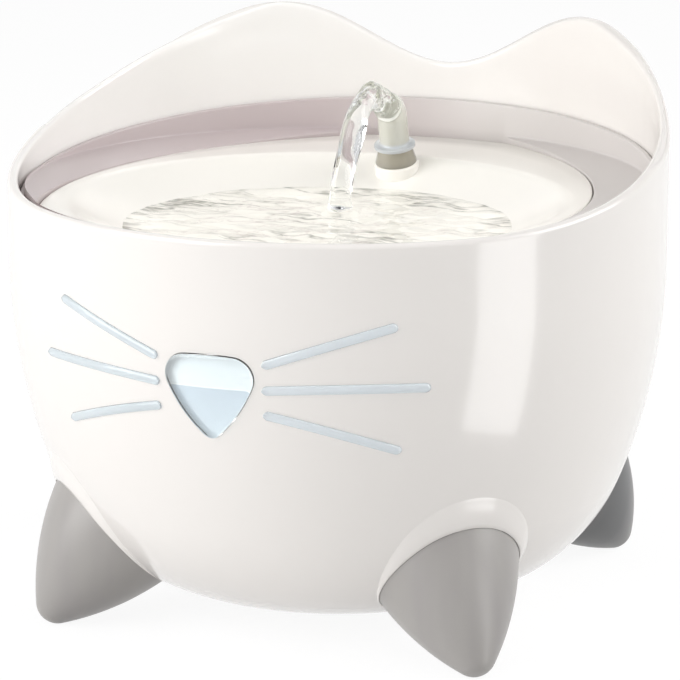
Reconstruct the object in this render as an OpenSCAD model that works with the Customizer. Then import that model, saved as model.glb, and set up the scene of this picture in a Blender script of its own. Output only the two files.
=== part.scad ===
// Pet drinking fountain: a round bowl with two ears on the rim, four pointed feet,
// a lift-out tray and dish, and a pump with its filter in the reservoir.
// Front (the nose) faces -Y, Z is up, and the origin is on the table under the bowl's axis.

/* [Bowl shell] */
// Outer radius of the bowl at the rim
shell_r = 127; // [120:1:136]
// Wall thickness of the bowl
wall = 4; // [3:0.5:5]
// Thickness of the reservoir floor
floor_t = 4; // [3:0.5:6]
// Height of the bowl's underside above the table
base_z = 8; // [6:1:14]
// Height of the rim at the front
front_rim_z = 165.4; // [155:1:180]
// Height at which the side starts to curve in
side_top_z = 136; // [128:1:140]
// Radius of the long curve of the side
side_arc_r = 230; // [200:5:280]
// Height at which the side curve meets the corner curve
join_z = 51; // [46:1:56]

/* [Ears] */
// Height of the ear tips
ear_tip_z = 217.2; // [205:1:230]
// Height of the rim between the ears
back_dip_z = 192.7; // [185:1:200]
// Distance of an ear tip from the middle plane
ear_x = 68; // [60:1:74]
// How broad the ear tips are, larger is broader
ear_round = 90; // [70:5:120]
// Where the rim starts to climb, towards the front
climb_start_y = -95; // [-105:1:-80]
// How late the rim climbs, larger is later
climb_power = 1.85; // [1.5:0.05:2.2]

/* [Feet] */
// Distance from the bowl's radius in to the tips of the front feet
front_foot_inset = 10.9; // [6:0.5:16]
// Distance from the bowl's radius in to the tips of the back feet
back_foot_inset = 2; // [0:0.5:10]
// Angle of a front foot from the front
front_foot_angle = 46.6; // [40:0.5:52]
// Angle of a back foot from the front
back_foot_angle = 136.9; // [130:0.5:142]
// Lean of a foot's own axis from the vertical
foot_tilt = 40.9; // [36:0.5:45]
// Length of a foot from its tip ball to its widest point
foot_len = 63.7; // [58:0.5:68]
// Largest radius of a foot
foot_max_r = 32.4; // [29:0.5:35]
// Radius of the curve of a foot's side
foot_arc_r = 105; // [95:1:115]
// How far the bowl's lip round a foot stands proud
lip_proud = 1.2; // [0.8:0.1:2]
// Width of the lip at the sides of a foot
lip_w = 1.8; // [1.2:0.1:3]
// How much less the lip leans than its foot, which makes it a crescent, wide at the top
lip_lean = 4; // [0:0.5:6]
// Radius of a rubber tip
pad_r = 4.4; // [3.8:0.2:5]
// Height of a rubber tip
pad_h = 3; // [2.5:0.1:4]
// How much of a rubber tip's round end is cut flat to stand on
tip_flat = 0.3; // [0.2:0.05:0.6]
// Radius of the boss that carries a foot
foot_boss_r = 7; // [6:0.5:8]
// Distance from a foot's tip in to its screw
foot_screw_in = 19; // [16:0.5:22]

/* [Nose and whiskers] */
// Height of the nose's upper corners' centres
nose_z = 119.2; // [116:0.5:124]
// Distance from the nose's middle to an upper corner's centre
nose_corner_x = 12.2; // [10:0.2:14]
// Radius of the nose's upper corners
nose_corner_r = 4.8; // [3.5:0.1:6]
// Height of the nose from the upper corners' centres to the tip's centre
nose_h = 22.8; // [18:0.2:25]
// Radius of the nose's tip
nose_tip_r = 3.8; // [3:0.1:5]
// How far the nose window stands proud of the bowl
nose_proud = 1.8; // [1:0.1:2.5]
// Width of a whisker
whisker_w = 3.3; // [2.5:0.1:4]
// How far a whisker stands proud of the bowl
whisker_proud = 1.2; // [0.8:0.1:1.6]
// Depth of a whisker's groove
groove_d = 1; // [0.6:0.1:1.4]

/* [Tray] */
// Width of the tray's deck beside the dish
deck_w = 22; // [18:0.5:26]
// How far the dish's rim lies below the front rim of the bowl
dish_drop = 3.7; // [3:0.1:6]
// Height of the tray from its seat to the dish's rim
tray_h = 19.5; // [17:0.5:22]
// Thickness of the tray's walls
tray_t = 2.2; // [1.8:0.1:3]
// Rise of the tray's top edge towards the back, per millimetre
tray_slope = 0.1; // [0.06:0.01:0.12]
// Width of the shelf in the tray that carries the dish
shelf_w = 4.5; // [3.5:0.25:4.5]

/* [Dish] */
// Radius of the curved sides of the dish's outline
dish_arc_r = 165; // [150:1:185]
// Where the dish is widest, along Y
dish_wide_y = -20; // [-28:1:-12]
// Thickness of the dish
dish_t = 2.4; // [2:0.1:3]
// Width of the flat rim beside the basin
dish_rim_w = 6; // [6:0.5:9]
// Middle of the basin, along Y
basin_y = -22; // [-22:1:-18]
// Depth of the basin below the rim
basin_d = 24.8; // [20:0.2:28]
// Radius of the pool's shore, where the drain slots start
pool_r = 74; // [70:1:78]
// Width of a drain slot
drain_w = 3; // [2:0.2:4]
// Length of a drain slot
drain_len = 10; // [8:0.5:12]

/* [Spout and riser] */
// Where the spout's ring is, along Y
spout_y = 62.3; // [58:0.5:66]
// Height of the spout's ring above the dish's rim
spout_ring_h = 6.3; // [5:0.1:8]
// Forward lean of the spout
spout_lean = 14; // [8:1:18]
// Outer radius of the spout's tube
spout_r = 6; // [5.4:0.1:6.4]
// Wall thickness of the spout
spout_t = 1.5; // [1:0.1:2]
// Outer radius of the spout's ring
spout_ring_r = 8.3; // [7.5:0.1:9]
// Length of the spout's straight part above the ring
spout_len = 5; // [3:0.5:8]
// Bend radius of the spout's mouth
mouth_bend_r = 16; // [12:0.5:20]
// Turn of the spout's mouth from its tube
mouth_turn = 45; // [35:1:55]
// Outer radius of the riser pipe
riser_r = 6.3; // [6:0.1:6.6]
// Wall thickness of the riser pipe
riser_t = 1.4; // [1.2:0.1:1.5]
// How much a knuckle is thicker than the riser pipe
knuckle_t = 0.8; // [0.5:0.1:1]
// Turn of the riser pipe at each knuckle
riser_turn = 50; // [44:1:54]

/* [Filter housing and cartridge] */
// Where the pump's outlet is, along Y
outlet_y = 10; // [6:1:12]
// Outer radius of the filter housing
house_r = 50; // [48:0.5:52]
// Wall thickness of the filter housing
house_t = 2; // [1.6:0.1:2.6]
// Height of the filter housing
house_h = 70; // [68:1:74]
// Depth of the cup on top that holds the cartridge
cup_d = 12; // [10:0.5:13]
// Height of the gap under the housing
house_gap = 2.5; // [2.2:0.1:3.5]
// Radius of the hole for the riser
riser_hole_r = 8; // [7.6:0.1:9]
// Thickness of the cartridge's foam pad
foam_t = 4; // [3:0.5:5]

/* [Pump] */
// Width of the pump's body
pump_w = 40; // [38:1:44]
// Length of the pump's body
pump_len = 44; // [42:1:48]
// Height of the pump's body
pump_h = 32; // [30:1:34]
// Height of a suction cup
cup_h = 4; // [3:0.5:5]
// Radius of the impeller's chamber
chamber_r = 11.5; // [11:0.25:12.5]
// Depth of the impeller's chamber
chamber_d = 14; // [13:0.5:15]
// Radius of the rotor magnet
magnet_r = 6; // [5.5:0.1:6.4]
// Length of the rotor magnet
magnet_len = 20; // [18:0.5:21]
// Outer radius of the pump's outlet nozzle
nozzle_r = 4.6; // [4.4:0.05:4.6]
// Height of the outlet nozzle above the body
nozzle_h = 20; // [18:0.5:22]
// Thickness of the pump's front cover
cover_t = 4; // [3:0.5:5]
// Travel of the flow regulator
regulator_travel = 6; // [4:0.5:7]

/* [Hidden] */
$fn = 96;

// Clearance between pieces that lift or slide past each other
slip = 0.3;
// Clearance between pieces that stay together
snug = 0.1;
// Overshoot of a cut past a face
over = 1;

white = [0.95, 0.94, 0.93];
foot_grey = [0.66, 0.65, 0.65];
tray_grey = [0.78, 0.75, 0.74];
cream = [0.96, 0.95, 0.9];
ice = [0.8, 0.9, 0.93, 0.6];
dark = [0.2, 0.2, 0.22];
steel = [0.75, 0.76, 0.78];

// ---- outlines shared by several pieces

function arc(c, r, from, to, n) =
    [for (i = [0:n]) c + r * [cos(from + (to - from) * i / n), sin(from + (to - from) * i / n)]];
// points of a shallow bow between two points, ends left out
function bow(p, q, rise, n) =
    let (d = q - p, normal = [d[1], -d[0]] / norm(d))
    [for (i = [1:n - 1]) let (t = i / n) p + d * t + normal * 4 * rise * t * (1 - t)];

join_angle = asin((side_top_z - join_z) / side_arc_r);
corner_r = (join_z - base_z) / (1 - sin(join_angle));
side_centre = [shell_r - side_arc_r, side_top_z];
corner_centre = side_centre + (side_arc_r - corner_r) * [cos(join_angle), -sin(join_angle)];
shell_top_z = ear_tip_z + 10;
floor_z = base_z + floor_t;
inner_r = shell_r - wall;

// half section of the bowl as a solid, grown or shrunk by a distance
function bowl_section(grow, bottom) = concat(
    [[0, bottom]],
    [for (p = arc(corner_centre, corner_r + grow, -90, -join_angle, 10)) if (p[1] > bottom - 0.01) p],
    arc(side_centre, side_arc_r + grow, -join_angle * 5 / 6, 0, 5),
    [[shell_r + grow, shell_top_z], [0, shell_top_z]]);

module bowl_solid(grow) {
    rotate_extrude() polygon(bowl_section(grow, base_z - grow));
}

// the same solid, only as high as the nose and the whiskers reach
module bowl_front(grow) {
    intersection() {
        bowl_solid(grow);
        translate([-shell_r, -2 * shell_r, base_z]) cube([2 * shell_r, 2 * shell_r, front_rim_z - base_z]);
    }
}

// rim height along the side, and along the back between and outside the ears
ear_y = sqrt(pow(shell_r - wall / 2, 2) - pow(ear_x, 2));
ear_rise = (ear_tip_z - front_rim_z) * 1.033;
function rim_side_z(y) =
    front_rim_z + (y > climb_start_y
        ? ear_rise * pow((y - climb_start_y) / (ear_y - climb_start_y), climb_power) : 0);
function rim_back_z(x) =
    abs(x) < ear_x
        ? back_dip_z + (ear_tip_z - back_dip_z) * (1 - cos(180 * x / ear_x)) / 2
        : ear_tip_z - pow(abs(x) - ear_x, 2) / ear_round;

rim_steps = 40;
module under_rim() {
    reach = shell_r + 2;
    step = 2 * reach / rim_steps;
    rotate([90, 0, 90]) translate([0, 0, -reach]) linear_extrude(2 * reach)
        polygon(concat([[reach, 0], [-reach, 0]],
            [for (i = [0:rim_steps]) [-reach + i * step, rim_side_z(-reach + i * step)]]));
}
module under_ears() {
    reach = shell_r + 2;
    step = 2 * reach / rim_steps;
    rotate([90, 0, 0]) translate([0, 0, -reach]) linear_extrude(2 * reach)
        polygon(concat([[reach, 0], [-reach, 0]],
            [for (i = [0:rim_steps]) [-reach + i * step, rim_back_z(-reach + i * step)]]));
}

// ---- feet

ball_r = foot_arc_r - norm([foot_arc_r - foot_max_r, foot_len]);
ball_z = ball_r - tip_flat;
foot_turn = atan2(foot_len, foot_arc_r - foot_max_r);
screw_head_r = 3.5;
screw_head_h = 2.4;
screw_r = 1.5;
screw_seat_z = 8;
boss_z = 17;
screw_top_z = 27;

// puts a foot's children at its ball, the foot pointing to the front before the turn
module at_foot(angle, inset) {
    rotate([0, 0, angle]) translate([0, inset - shell_r, 0]) children();
}
module foot_form(grow, tilt = foot_tilt) {
    translate([0, 0, ball_z]) rotate([-tilt, 0, 0]) rotate_extrude()
        polygon(concat(
            arc([0, 0], ball_r + grow, -90, -foot_turn, 4),
            arc([foot_max_r - foot_arc_r, foot_len], foot_arc_r + grow, -foot_turn * 6 / 7, 0, 6),
            [[0, foot_len]]));
}
module foot(angle, inset) {
    color(foot_grey) difference() {
        at_foot(angle, inset) foot_form(0);
        bowl_solid(snug);
        at_foot(angle, inset) {
            translate([0, 0, -over]) cylinder(h = over + pad_h + snug, r = pad_r + snug);
            translate([0, foot_screw_in, 0]) {
                translate([0, 0, -over]) cylinder(h = screw_seat_z + over, r = screw_head_r + 0.5);
                cylinder(h = join_z, r = screw_r + 0.3);
                translate([0, 0, boss_z - snug]) cylinder(h = join_z, r = foot_boss_r + snug);
            }
        }
    }
}
module each_foot() {
    for (side = [-1, 1]) {
        at_foot(side * front_foot_angle, front_foot_inset) children();
        at_foot(side * back_foot_angle, back_foot_inset) children();
    }
}
module foot_screws() {
    color(steel) each_foot() translate([0, foot_screw_in, 0]) {
        translate([0, 0, screw_seat_z - screw_head_h]) cylinder(h = screw_head_h, r = screw_head_r);
        translate([0, 0, screw_seat_z - 0.5]) cylinder(h = screw_top_z - screw_seat_z + 0.5, r = screw_r);
    }
}
module foot_pads() {
    color(dark) each_foot() intersection() {
        foot_form(0);
        cylinder(h = pad_h, r = pad_r);
    }
}

// ---- nose and whiskers, as prisms along Y

nose_side = atan2(nose_h, nose_corner_x);
nose_side_bow = 1.6;
nose_top_bow = 0.9;
function nose_outline(grow) =
    let (
        top_r = nose_corner_r + grow,
        tip_r = nose_tip_r + grow,
        low = [0, nose_z - nose_h],
        normal = nose_side - 90,
        right = arc([nose_corner_x, nose_z], top_r, normal + 13, 82, 5),
        left = arc([-nose_corner_x, nose_z], top_r, 98, 167 - normal, 5),
        tip = arc(low, tip_r, 180 - normal + 13, 360 + normal - 13, 6))
    concat(right, bow(right[5], left[0], nose_top_bow, 6), left,
        bow(left[5], tip[0], nose_side_bow, 6), tip, bow(tip[6], right[0], nose_side_bow, 6));

// extrudes an x-z outline forward from the bowl's middle
module front_prism(outline) {
    rotate([90, 0, 0]) linear_extrude(shell_r + 8) polygon(outline);
}
module nose_ring(hole_grow, out_grow, outside, inside) {
    intersection() {
        difference() {
            bowl_front(outside);
            bowl_front(inside);
        }
        difference() {
            front_prism(nose_outline(out_grow));
            front_prism(nose_outline(hole_grow));
        }
    }
}
nose_flange = 4;
gasket_t = 1.5;
nose_frame_t = 2;
module nose_window() {
    color(ice) intersection() {
        difference() {
            bowl_front(nose_proud);
            bowl_front(-wall - gasket_t - nose_frame_t);
        }
        front_prism(nose_outline(0));
    }
}
module nose_gasket() {
    color(dark) nose_ring(snug, nose_flange, -wall - snug, -wall - gasket_t);
}
module nose_frame() {
    color(white) nose_ring(snug, nose_flange, -wall - gasket_t - snug, -wall - gasket_t - nose_frame_t);
}

// each whisker runs from its inner to its outer end, [x, z], and bows up by the third value
whisker_top = [[21.8, 121.8], [63.6, 135.4], 0.3];
whisker_middle = [[21.5, 112.1], [73.2, 113], 0.7];
whisker_low = [[21.5, 102.6], [63.2, 89.8], 1];
function whisker_outline(w, side, grow) =
    let (
        p = [side * w[0][0], w[0][1]],
        q = [side * w[1][0], w[1][1]],
        along = atan2(q[1] - p[1], q[0] - p[0]),
        r = whisker_w / 2 + grow,
        up = r * [-sin(along), cos(along)])
    concat(arc(p, r, along + 90, along + 270, 6),
        bow(p - up, q - up, -side * w[2], 8),
        arc(q, r, along - 90, along + 90, 6),
        bow(q + up, p + up, side * w[2], 8));
module whisker(w, side) {
    color(ice) intersection() {
        difference() {
            bowl_front(whisker_proud);
            bowl_front(snug - groove_d);
        }
        front_prism(whisker_outline(w, side, 0));
    }
}

// ---- cord gland in the back wall

gland_z = 128;
gland_bore_r = 2.2;
gland_r = 4;
gland_flange_r = 6.3;
gland_flange_t = 1.5;
gland_sink = 0.3;
module back_tube(r, from, to) {
    translate([0, from, gland_z]) rotate([-90, 0, 0]) cylinder(h = to - from, r = r);
}
gland_face_y = shell_r - gland_sink;
module cord_gland() {
    color(dark) difference() {
        union() {
            back_tube(gland_flange_r, gland_face_y - gland_flange_t, gland_face_y);
            back_tube(gland_r, inner_r - snug - 2, gland_face_y - gland_flange_t + 0.1);
            back_tube(gland_flange_r - 1, inner_r - snug - 2, inner_r - snug - 0.4);
        }
        back_tube(gland_bore_r, inner_r - 2 * over - 2, shell_r + over);
    }
}

// ---- bowl shell

dish_z = front_rim_z - dish_drop;
tray_seat_z = dish_z - tray_h;
seat_w = 3.5;
module shell() {
    color(white) difference() {
        union() {
            intersection() {
                rotate_extrude() polygon(bowl_section(0, base_z));
                under_rim();
                under_ears();
            }
            intersection() {
                each_foot() foot_form(lip_w, foot_tilt - lip_lean);
                difference() {
                    bowl_solid(lip_proud);
                    each_foot() foot_form(snug * 2);
                }
            }
            each_foot() translate([0, foot_screw_in, boss_z]) cylinder(h = join_z - boss_z, r = foot_boss_r);
        }
        difference() {
            rotate_extrude() polygon(bowl_section(-wall, floor_z));
            rotate_extrude() polygon([[inner_r + over, tray_seat_z - seat_w - over],
                [inner_r - seat_w, tray_seat_z - 1], [inner_r - seat_w, tray_seat_z],
                [inner_r + over, tray_seat_z]]);
        }
        front_prism(nose_outline(snug));
        difference() {
            for (side = [-1, 1]) for (w = [whisker_top, whisker_middle, whisker_low])
                front_prism(whisker_outline(w, side, snug));
            bowl_front(-groove_d);
        }
        back_tube(gland_r + snug, inner_r - over, shell_r + over);
        back_tube(gland_flange_r + snug, gland_face_y - gland_flange_t - snug, shell_r + over);
        each_foot() translate([0, foot_screw_in, boss_z - over])
            cylinder(h = screw_top_z - boss_z + over + 0.5, r = screw_r + 0.02);
    }
}

// ---- tray ring

tray_r = inner_r - slip - 0.1;
deck_half_w = inner_r - deck_w;
// the dish's front and back ends stand this far off the tray's wall
dish_end_gap = 2;
dish_clip_r = tray_r - tray_t - dish_end_gap;
// outline of the dish: two large curved sides, cut by the circle of the wall
module dish_outline() {
    intersection() {
        dish_sides(0);
        circle(r = dish_clip_r);
    }
}
module dish_sides(grow) {
    shift = dish_arc_r - deck_half_w;
    intersection() {
        translate([shift, dish_wide_y]) circle(r = dish_arc_r + grow, $fn = 180);
        translate([-shift, dish_wide_y]) circle(r = dish_arc_r + grow, $fn = 180);
    }
}
shelf_z = dish_z - dish_t - slip;
// how far the dish's ends lie on the shelf
end_lap = 1;
deck_rise = 0.11;
edge_z = front_rim_z + 0.1;
module tray_ring() {
    outer = tray_r - tray_t + 0.05;
    color(tray_grey) {
        // wall with the tilted top edge
        difference() {
            translate([0, 0, tray_seat_z + slip]) cylinder(h = 50, r = tray_r);
            translate([0, 0, tray_seat_z]) cylinder(h = 60, r = tray_r - tray_t);
            translate([0, 0, edge_z]) rotate([atan(tray_slope), 0, 0])
                translate([-200, -200, 0]) cube([400, 400, 100]);
        }
        // sloping deck, left and right of the dish
        difference() {
            rotate_extrude() polygon([
                [deck_half_w - deck_w, dish_z - dish_t], [outer, dish_z - dish_t],
                [outer, dish_z + deck_rise * deck_w], [deck_half_w, dish_z + 0.2],
                [deck_half_w - deck_w, dish_z + 0.2]]);
            translate([0, 0, dish_z - dish_t - over]) linear_extrude(50) dish_sides(slip + 0.1);
        }
        // shelf under the dish, and its outer wall
        translate([0, 0, shelf_z - tray_t]) linear_extrude(tray_t) difference() {
            intersection() {
                dish_sides(slip + 0.1 + tray_t);
                circle(r = outer);
            }
            intersection() {
                dish_sides(-shelf_w);
                circle(r = dish_clip_r - end_lap);
            }
        }
        translate([0, 0, shelf_z - 0.1]) linear_extrude(dish_t) difference() {
            intersection() {
                dish_sides(slip + 0.1 + tray_t);
                circle(r = outer);
            }
            dish_sides(slip + 0.1);
        }
    }
}

// ---- drinking dish

basin_r = deck_half_w - dish_rim_w;
basin_arc_r = (pow(basin_r, 2) + pow(basin_d, 2)) / (2 * basin_d);
basin_turn = asin(basin_r / basin_arc_r);
basin_centre = [0, dish_z - basin_d + basin_arc_r];
spout_ring_z = dish_z + spout_ring_h;
// the spout's axis meets the riser's at this height
socket_z = dish_z - 5.7;
riser_y = spout_y + (spout_ring_z - socket_z) * tan(spout_lean);
socket_r = riser_r + 1.7;
socket_len = 10;
plug_r = spout_r - 0.8;
neck_low_r = 8.4;
collar_r = neck_low_r + 0.6;
drain_step = 12;

// spout's own axis: origin in the ring's middle, z along the tube
module at_spout() {
    translate([0, spout_y, spout_ring_z]) rotate([spout_lean, 0, 0]) children();
}
collar_top = -7.5;
collar_low = -18;
plug_end = -13;
module collar() {
    at_spout() translate([0, 0, collar_low]) cylinder(h = collar_top - collar_low, r = collar_r);
}
module drinking_dish() {
    color(cream) difference() {
        union() {
            translate([0, 0, dish_z - dish_t]) linear_extrude(dish_t) dish_outline();
            translate([0, basin_y, 0]) rotate_extrude() polygon(concat(
                arc(basin_centre, basin_arc_r + dish_t, -90, -90 + basin_turn, 12),
                [[0, dish_z - 0.1]]));
            collar();
            translate([0, riser_y, socket_z - socket_len]) cylinder(h = socket_len - 2, r = socket_r);
        }
        difference() {
            translate([0, basin_y, 0]) rotate_extrude() polygon(concat(
                arc(basin_centre, basin_arc_r, -90, -90 + basin_turn, 12),
                [[basin_r, dish_z + over], [0, dish_z + over]]));
            collar();
        }
        translate([0, riser_y, 0]) cylinder(h = socket_z, r = riser_r + snug);
        at_spout() translate([0, 0, plug_end - 1]) cylinder(h = 20, r = plug_r + slip);
        at_spout() translate([0, 0, collar_top]) cylinder(h = spout_ring_h * 2, r = neck_low_r + snug);
        for (i = [-3:3]) translate([0, basin_y, 0]) rotate([0, 0, i * drain_step])
            translate([-drain_w / 2, -pool_r - 1 - drain_len, dish_z - basin_d])
                cube([drain_w, drain_len, basin_d + over]);
    }
}

// ---- spout

neck_top_r = 6.8;
ring_t = 2;
seal_r = 0.6;
seal_mid_r = plug_r + slip + 1.4;
module spout() {
    color(ice) at_spout() {
        difference() {
            union() {
                cylinder(h = spout_len, r = spout_r);
                translate([0, 0, -ring_t / 2]) cylinder(h = ring_t, r = spout_ring_r);
                translate([0, 0, collar_top + snug])
                    cylinder(h = -collar_top - snug, r1 = neck_low_r, r2 = neck_top_r);
                translate([0, 0, plug_end]) cylinder(h = -plug_end, r = plug_r);
            }
            translate([0, 0, plug_end - over])
                cylinder(h = spout_len - plug_end + 2 * over, r = spout_r - spout_t);
            translate([0, 0, collar_top]) rotate_extrude()
                translate([seal_mid_r - seal_r - snug, 0])
                    square([2 * (seal_r + snug), 2 * (seal_r + snug)]);
        }
        translate([0, -mouth_bend_r, spout_len]) rotate([90, 0, 90]) rotate_extrude(angle = mouth_turn)
            translate([mouth_bend_r, 0]) difference() {
                circle(r = spout_r);
                circle(r = spout_r - spout_t);
            }
    }
}
// the seal lies in a groove under the neck, on the collar's top
module spout_seal() {
    color(dark) at_spout() translate([0, 0, collar_top + seal_r + 0.05]) rotate_extrude()
        translate([seal_mid_r, 0]) circle(r = seal_r, $fn = 32);
}

// ---- pump, from the reservoir floor up

pump_z = floor_z + cup_h + snug;
pump_top_z = pump_z + pump_h;
nozzle_top_z = pump_top_z + nozzle_h;
pump_front_y = outlet_y - 10;
rotor_z = pump_z + 14;
rear_y = pump_front_y + chamber_d;
magnet_gap = 0.7;
shaft_r = 1.2;
bush_r = 2.6;
bush_len = 3;
corner = 5;

// a cylinder along Y, on the rotor's axis
module along_rotor(from, to, r) {
    translate([0, from, rotor_z]) rotate([-90, 0, 0]) cylinder(h = to - from, r = r);
}
module round_block(w, len, h, r) {
    linear_extrude(h) union() {
        translate([-w / 2 + r, 0]) square([w - 2 * r, len]);
        translate([-w / 2, r]) square([w, len - 2 * r]);
        for (x = [-w / 2 + r, w / 2 - r]) for (y = [r, len - r]) translate([x, y]) circle(r = r, $fn = 48);
    }
}
module cup_places() {
    for (x = [-pump_w / 2 + 8, pump_w / 2 - 8]) for (y = [8, pump_len - 8])
        translate([x, pump_front_y + y, 0]) children();
}
magnet_from = rear_y + 1;
magnet_to = magnet_from + magnet_len;
well_end = magnet_to + 1 + bush_len;
spigot_len = 3;
module pump_body() {
    color(dark) difference() {
        union() {
            translate([0, pump_front_y, pump_z]) round_block(pump_w, pump_len, pump_h, corner);
            translate([0, outlet_y, pump_top_z - 1]) cylinder(h = nozzle_h + 1, r = nozzle_r);
            translate([0, outlet_y, pump_top_z - 1]) cylinder(h = 4, r = nozzle_r + 2);
            cup_places() translate([0, 0, pump_z - 1.5]) cylinder(h = 3, r = 2.5);
        }
        along_rotor(pump_front_y - over, rear_y, chamber_r);
        along_rotor(rear_y - over, magnet_to + 1, magnet_r + magnet_gap);
        along_rotor(magnet_to, well_end, bush_r + 0.02);
        translate([0, outlet_y, rotor_z]) cylinder(h = pump_h + nozzle_h, r = nozzle_r - 1.2);
    }
}
module suction_cups() {
    color(dark) cup_places() difference() {
        union() {
            translate([0, 0, floor_z + snug]) cylinder(h = cup_h - 1.7, r1 = 6, r2 = 4);
            translate([0, 0, floor_z + cup_h - 1.9]) cylinder(h = 1.9, r = 4);
        }
        translate([0, 0, pump_z - 1.5 - snug]) cylinder(h = 5, r = 2.5 + snug);
    }
}
intake_w = 12;
intake_h = 4;
cover_w = 32;
cover_h = 27;
cover_corner = 1.5;
regulator_x = -12.5;
regulator_w = 17;
regulator_h = 8.6;
regulator_t = 1.5;
module pump_cover() {
    color(dark) difference() {
        union() {
            translate([0, pump_front_y - snug - cover_t, pump_z + 0.5])
                round_block(cover_w, cover_t, cover_h, cover_corner);
            along_rotor(pump_front_y - 1, pump_front_y + spigot_len, chamber_r - slip);
        }
        difference() {
            along_rotor(pump_front_y - snug, pump_front_y + spigot_len + over, chamber_r - slip - 1.5);
            along_rotor(pump_front_y - 1, pump_front_y + spigot_len + 2 * over, bush_r + 1.2);
        }
        along_rotor(pump_front_y, pump_front_y + spigot_len + over, shaft_r + 0.05);
        // water inlet windows, left and right of the bearing
        for (x = [-1, 1])
            translate([x * 6.5 - intake_w / 4, pump_front_y - cover_t - over, rotor_z - intake_h / 2])
            cube([intake_w / 2, cover_t + 2 * over, intake_h]);
        // track of the regulator
        translate([regulator_x - 0.5, pump_front_y - snug - cover_t - over,
                rotor_z - regulator_h / 2 - slip])
            cube([regulator_w + regulator_travel + 1, regulator_t + over, regulator_h + 2 * slip]);
    }
}
module flow_regulator() {
    track_y = pump_front_y - snug - cover_t + regulator_t;
    color(foot_grey) difference() {
        union() {
            translate([regulator_x, track_y - slip - regulator_t, rotor_z - regulator_h / 2])
                cube([regulator_w, regulator_t, regulator_h]);
            translate([regulator_x, track_y - slip - regulator_t - 2, rotor_z - regulator_h / 2])
                cube([2, 2.5, regulator_h]);
        }
        translate([-6.5 - intake_w / 4, track_y - 6, rotor_z - intake_h / 2])
            cube([intake_w / 2, 12, intake_h]);
    }
}
blade_r = chamber_r - 1.5;
hub_r = 3.6;
impeller_from = pump_front_y + spigot_len + 1;
impeller_to = magnet_from + 0.5;
module impeller() {
    color(white) difference() {
        union() {
            along_rotor(impeller_from, impeller_to, hub_r);
            along_rotor(rear_y - 1.7, rear_y - 0.5, blade_r);
            for (i = [0:5]) translate([0, 0, rotor_z]) rotate([0, i * 60, 0])
                translate([-0.6, impeller_from + 0.5, 0])
                    cube([1.2, rear_y - impeller_from - 1.5, blade_r]);
            along_rotor(impeller_to - 0.3, magnet_to, 3);
        }
        along_rotor(impeller_from - over, magnet_to + over, shaft_r + 0.05);
    }
}
module rotor_magnet() {
    color([0.3, 0.3, 0.32]) difference() {
        along_rotor(impeller_to + 0.02, magnet_to, magnet_r);
        along_rotor(impeller_to - over, magnet_to + over, 3.02);
    }
}
module rotor_shaft() {
    color(steel) along_rotor(pump_front_y + 0.5, well_end - 0.5, shaft_r);
}
module rear_bushing() {
    color(dark) difference() {
        along_rotor(well_end - bush_len + 0.05, well_end - 0.02, bush_r);
        along_rotor(well_end - bush_len - over, well_end - 0.4, shaft_r + 0.02);
    }
}

// ---- filter housing and cartridge

house_z = floor_z + house_gap;
house_top_z = house_z + house_h;
cup_z = house_top_z - cup_d;
frame_r = house_r - house_t - slip;
frame_t = 1.8;
leg_t = 5;
leg_w = 8;
leg_lap = 4;
module at_house() {
    translate([0, outlet_y, 0]) children();
}
module filter_housing() {
    color(white) at_house() {
        intersection() {
            for (a = [45:90:315]) rotate([0, 0, a]) translate([house_r - leg_t - 1, -leg_w / 2, floor_z])
                cube([leg_t, leg_w, house_z - floor_z + leg_lap]);
            translate([0, -outlet_y, 0]) rotate_extrude()
                polygon(bowl_section(-wall - slip, floor_z + slip));
        }
        difference() {
            translate([0, 0, house_z]) cylinder(h = house_h, r = house_r);
            translate([0, 0, house_z - over])
                cylinder(h = cup_z - house_t - house_z + over, r = house_r - house_t);
            translate([0, 0, cup_z]) cylinder(h = cup_d + over, r = house_r - house_t);
            cylinder(h = house_top_z + over, r = riser_hole_r);
            for (i = [0:11]) rotate([0, 0, i * 30]) translate([20, -2, cup_z - house_t - over])
                cube([20, 4, house_t + 2 * over]);
            // arch for the pump's cord, at the back
            translate([-5, 0, house_z - over]) cube([10, house_r + over, 8]);
        }
    }
}
module cartridge_frame() {
    color(white) at_house() difference() {
        translate([0, 0, cup_z + slip]) cylinder(h = cup_d - slip, r = frame_r);
        translate([0, 0, cup_z + slip + frame_t]) cylinder(h = cup_d, r = frame_r - frame_t);
        cylinder(h = house_top_z + over, r = riser_hole_r);
        for (i = [0:11]) rotate([0, 0, i * 30]) translate([20, -2, cup_z - over])
            cube([18, 4, frame_t + 2 * over]);
    }
}
bed_z = cup_z + slip + frame_t;
foam_z = house_top_z - foam_t - 1;
module filter_layer(from, to) {
    at_house() translate([0, 0, from]) difference() {
        cylinder(h = to - from, r = frame_r - frame_t - snug);
        translate([0, 0, -over]) cylinder(h = to - from + 2 * over, r = riser_hole_r + 0.5);
    }
}
module cartridge_foam() {
    color([0.85, 0.85, 0.88]) filter_layer(foam_z, foam_z + foam_t);
}
module cartridge_carbon() {
    color([0.15, 0.15, 0.15]) filter_layer(bed_z + snug, foam_z - snug);
}

// ---- riser pipe, from the pump's nozzle to the dish's socket

riser_lap = 10;
riser_low_z = nozzle_top_z - riser_lap;
riser_high_z = socket_z - 3;
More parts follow.
